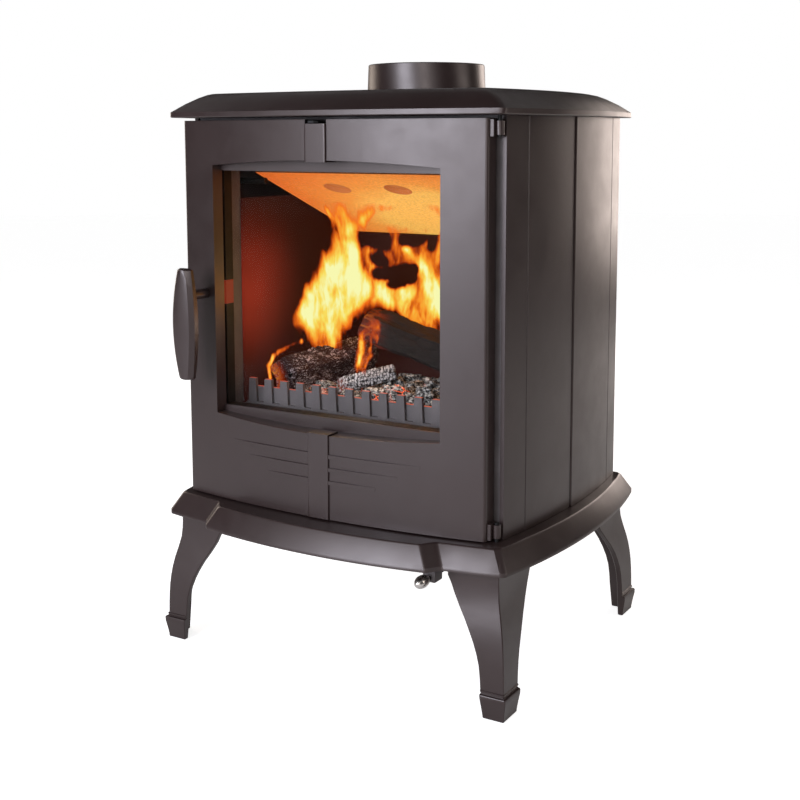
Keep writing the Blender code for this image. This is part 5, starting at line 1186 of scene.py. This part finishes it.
BACK_GAPS = (
    (((-0.100, 0.504, 0.022), (-0.068, 0.500, 0.020)), 0.80),
    (((-0.0785, 0.474, 0.014), (-0.070, 0.470, 0.012)), 0.75),
    (((-0.078, 0.452, 0.012), (-0.0436, 0.4563, 0.016), (-0.028, 0.460, 0.010)), 0.85),
    (((-0.062, 0.4385, 0.008), (-0.040, 0.4430, 0.009), (-0.028, 0.450, 0.005)), 0.60),
    (((-0.034, 0.5000, 0.016), (-0.014, 0.506, 0.014)), 0.75),
    (((0.002, 0.492, 0.011), (0.006, 0.520, 0.011)), 0.60),
    (((0.022, 0.460, 0.012), (0.028, 0.510, 0.014)), 0.70),
    (((0.060, 0.435, 0.014), (0.072, 0.470, 0.016), (0.070, 0.520, 0.018)), 0.65),
)
BACK_FIRE = (BACK_BODY, BACK_TONGUES, BACK_GAPS)
flame_sheet("flame_back", 0.244, (-0.150, 0.350), (0.150, 0.545), BACK_FIRE, lean=-0.06, fray=0.34)

# %% [markdown]
# ## The main fire
#
# The brightest part of the fire stands on the left log and leans to the right as it rises. Its body is
# one shape of rows without dark gaps, and thin tongues run on from its top under the board.

# %% Draw the main fire
MAIN_BODY = (
    (0.352, -0.150, -0.090, 0.45),
    (0.372, -0.162, -0.076, 0.66),
    (0.388, -0.168, -0.066, 0.82),
    (0.403, -0.167, -0.054, 0.88),
    (0.414, -0.162, -0.040, 0.90),
    (0.431, -0.152, -0.022, 0.88),
    (0.445, -0.144, -0.022, 0.86),
    (0.458, -0.136, -0.030, 0.84),
    (0.469, -0.129, -0.038, 0.82),
    (0.496, -0.113, -0.045, 0.60),
    (0.516, -0.103, -0.045, 0.50),
    (0.531, -0.100, -0.042, 0.44),
    (0.545, -0.102, -0.026, 0.32),
    (0.556, -0.108, 0.002, 0.14),
)
MAIN_TONGUES = (
    (((-0.133, 0.4065, 0.020), (-0.122, 0.430, 0.026), (-0.104, 0.458, 0.018)), 0.80),
    (((-0.098, 0.415, 0.024), (-0.086, 0.440, 0.028), (-0.076, 0.470, 0.022), (-0.075, 0.500, 0.012)), 0.88),
    (((-0.076, 0.512, 0.013), (-0.088, 0.533, 0.009), (-0.102, 0.546, 0.006)), 0.40),
    (((-0.066, 0.518, 0.014), (-0.045, 0.536, 0.013), (-0.022, 0.547, 0.010), (0.006, 0.548, 0.007)), 0.42),
    (((0.034, 0.562, 0.007), (0.050, 0.549, 0.010), (0.064, 0.534, 0.012), (0.070, 0.515, 0.010)), 0.40),
)
MAIN_FIRE = (MAIN_BODY, MAIN_TONGUES, ())
flame_sheet("flame_main", 0.165, (-0.168, 0.340), (0.100, 0.575), MAIN_FIRE, lean=-0.10)

# %% [markdown]
# ## The small front fire
#
# Two faint licks of fire stand before the logs, each a broad soft tongue with a thin bright one inside
# it, and a thin line of fire runs up along the left log.

# %% Draw the small front fire
FRONT_TONGUES = (
    (((-0.026, 0.352, 0.012), (-0.016, 0.376, 0.020), (-0.008, 0.404, 0.018)), 0.33),
    (((-0.010, 0.350, 0.012), (-0.004, 0.372, 0.014), (-0.004, 0.388, 0.008)), 0.30),
    (((-0.024, 0.354, 0.004), (-0.017, 0.370, 0.005), (-0.018, 0.384, 0.004)), 0.44),
    (((-0.010, 0.354, 0.004), (-0.006, 0.366, 0.004), (-0.009, 0.376, 0.003)), 0.44),
    (((-0.156, 0.328, 0.004), (-0.161, 0.343, 0.005), (-0.150, 0.355, 0.0055), (-0.134, 0.363, 0.006),
      (-0.118, 0.372, 0.006), (-0.104, 0.380, 0.006)), 0.44),
)
FRONT_FIRE = ((), FRONT_TONGUES, ())
flame_sheet("flame_front", 0.096, (-0.168, 0.310), (0.040, 0.420), FRONT_FIRE, spacing=0.0015, fray=0.50)

# %% [markdown]
# ## The light of the fire
#
# The flame sheets aren't lamps, so three small warm ones stand where the fire is hottest and light the
# logs, the boards and the inside of the frame. The low one is paler, so that the ash before the logs
# looks white and not red.

# %% Light the fire
FIRE_TINT = (1.0, 0.30, 0.06)
ASH_TINT = (1.0, 0.80, 0.66)
FIRE_LAMP_RADIUS = 0.03


def fire_lamp(name, x, depth, z, power, tint):
    data = bpy.data.lights.new(name, "POINT")
    data.energy = power
    data.shadow_soft_size = FIRE_LAMP_RADIUS
    data.color = tint
    lamp = put(name, data)
    lamp.location = (x, FRONT + depth, z)
    print(name, "of", power, "watts")
    return lamp


fire_lamp("fire_left", -0.095, 0.150, 0.430, 0.10, FIRE_TINT)
fire_lamp("fire_right", 0.020, 0.205, 0.430, 0.14, FIRE_TINT)
fire_lamp("fire_low", -0.020, 0.090, 0.385, 0.16, ASH_TINT)

# %% [markdown]
# ## The end
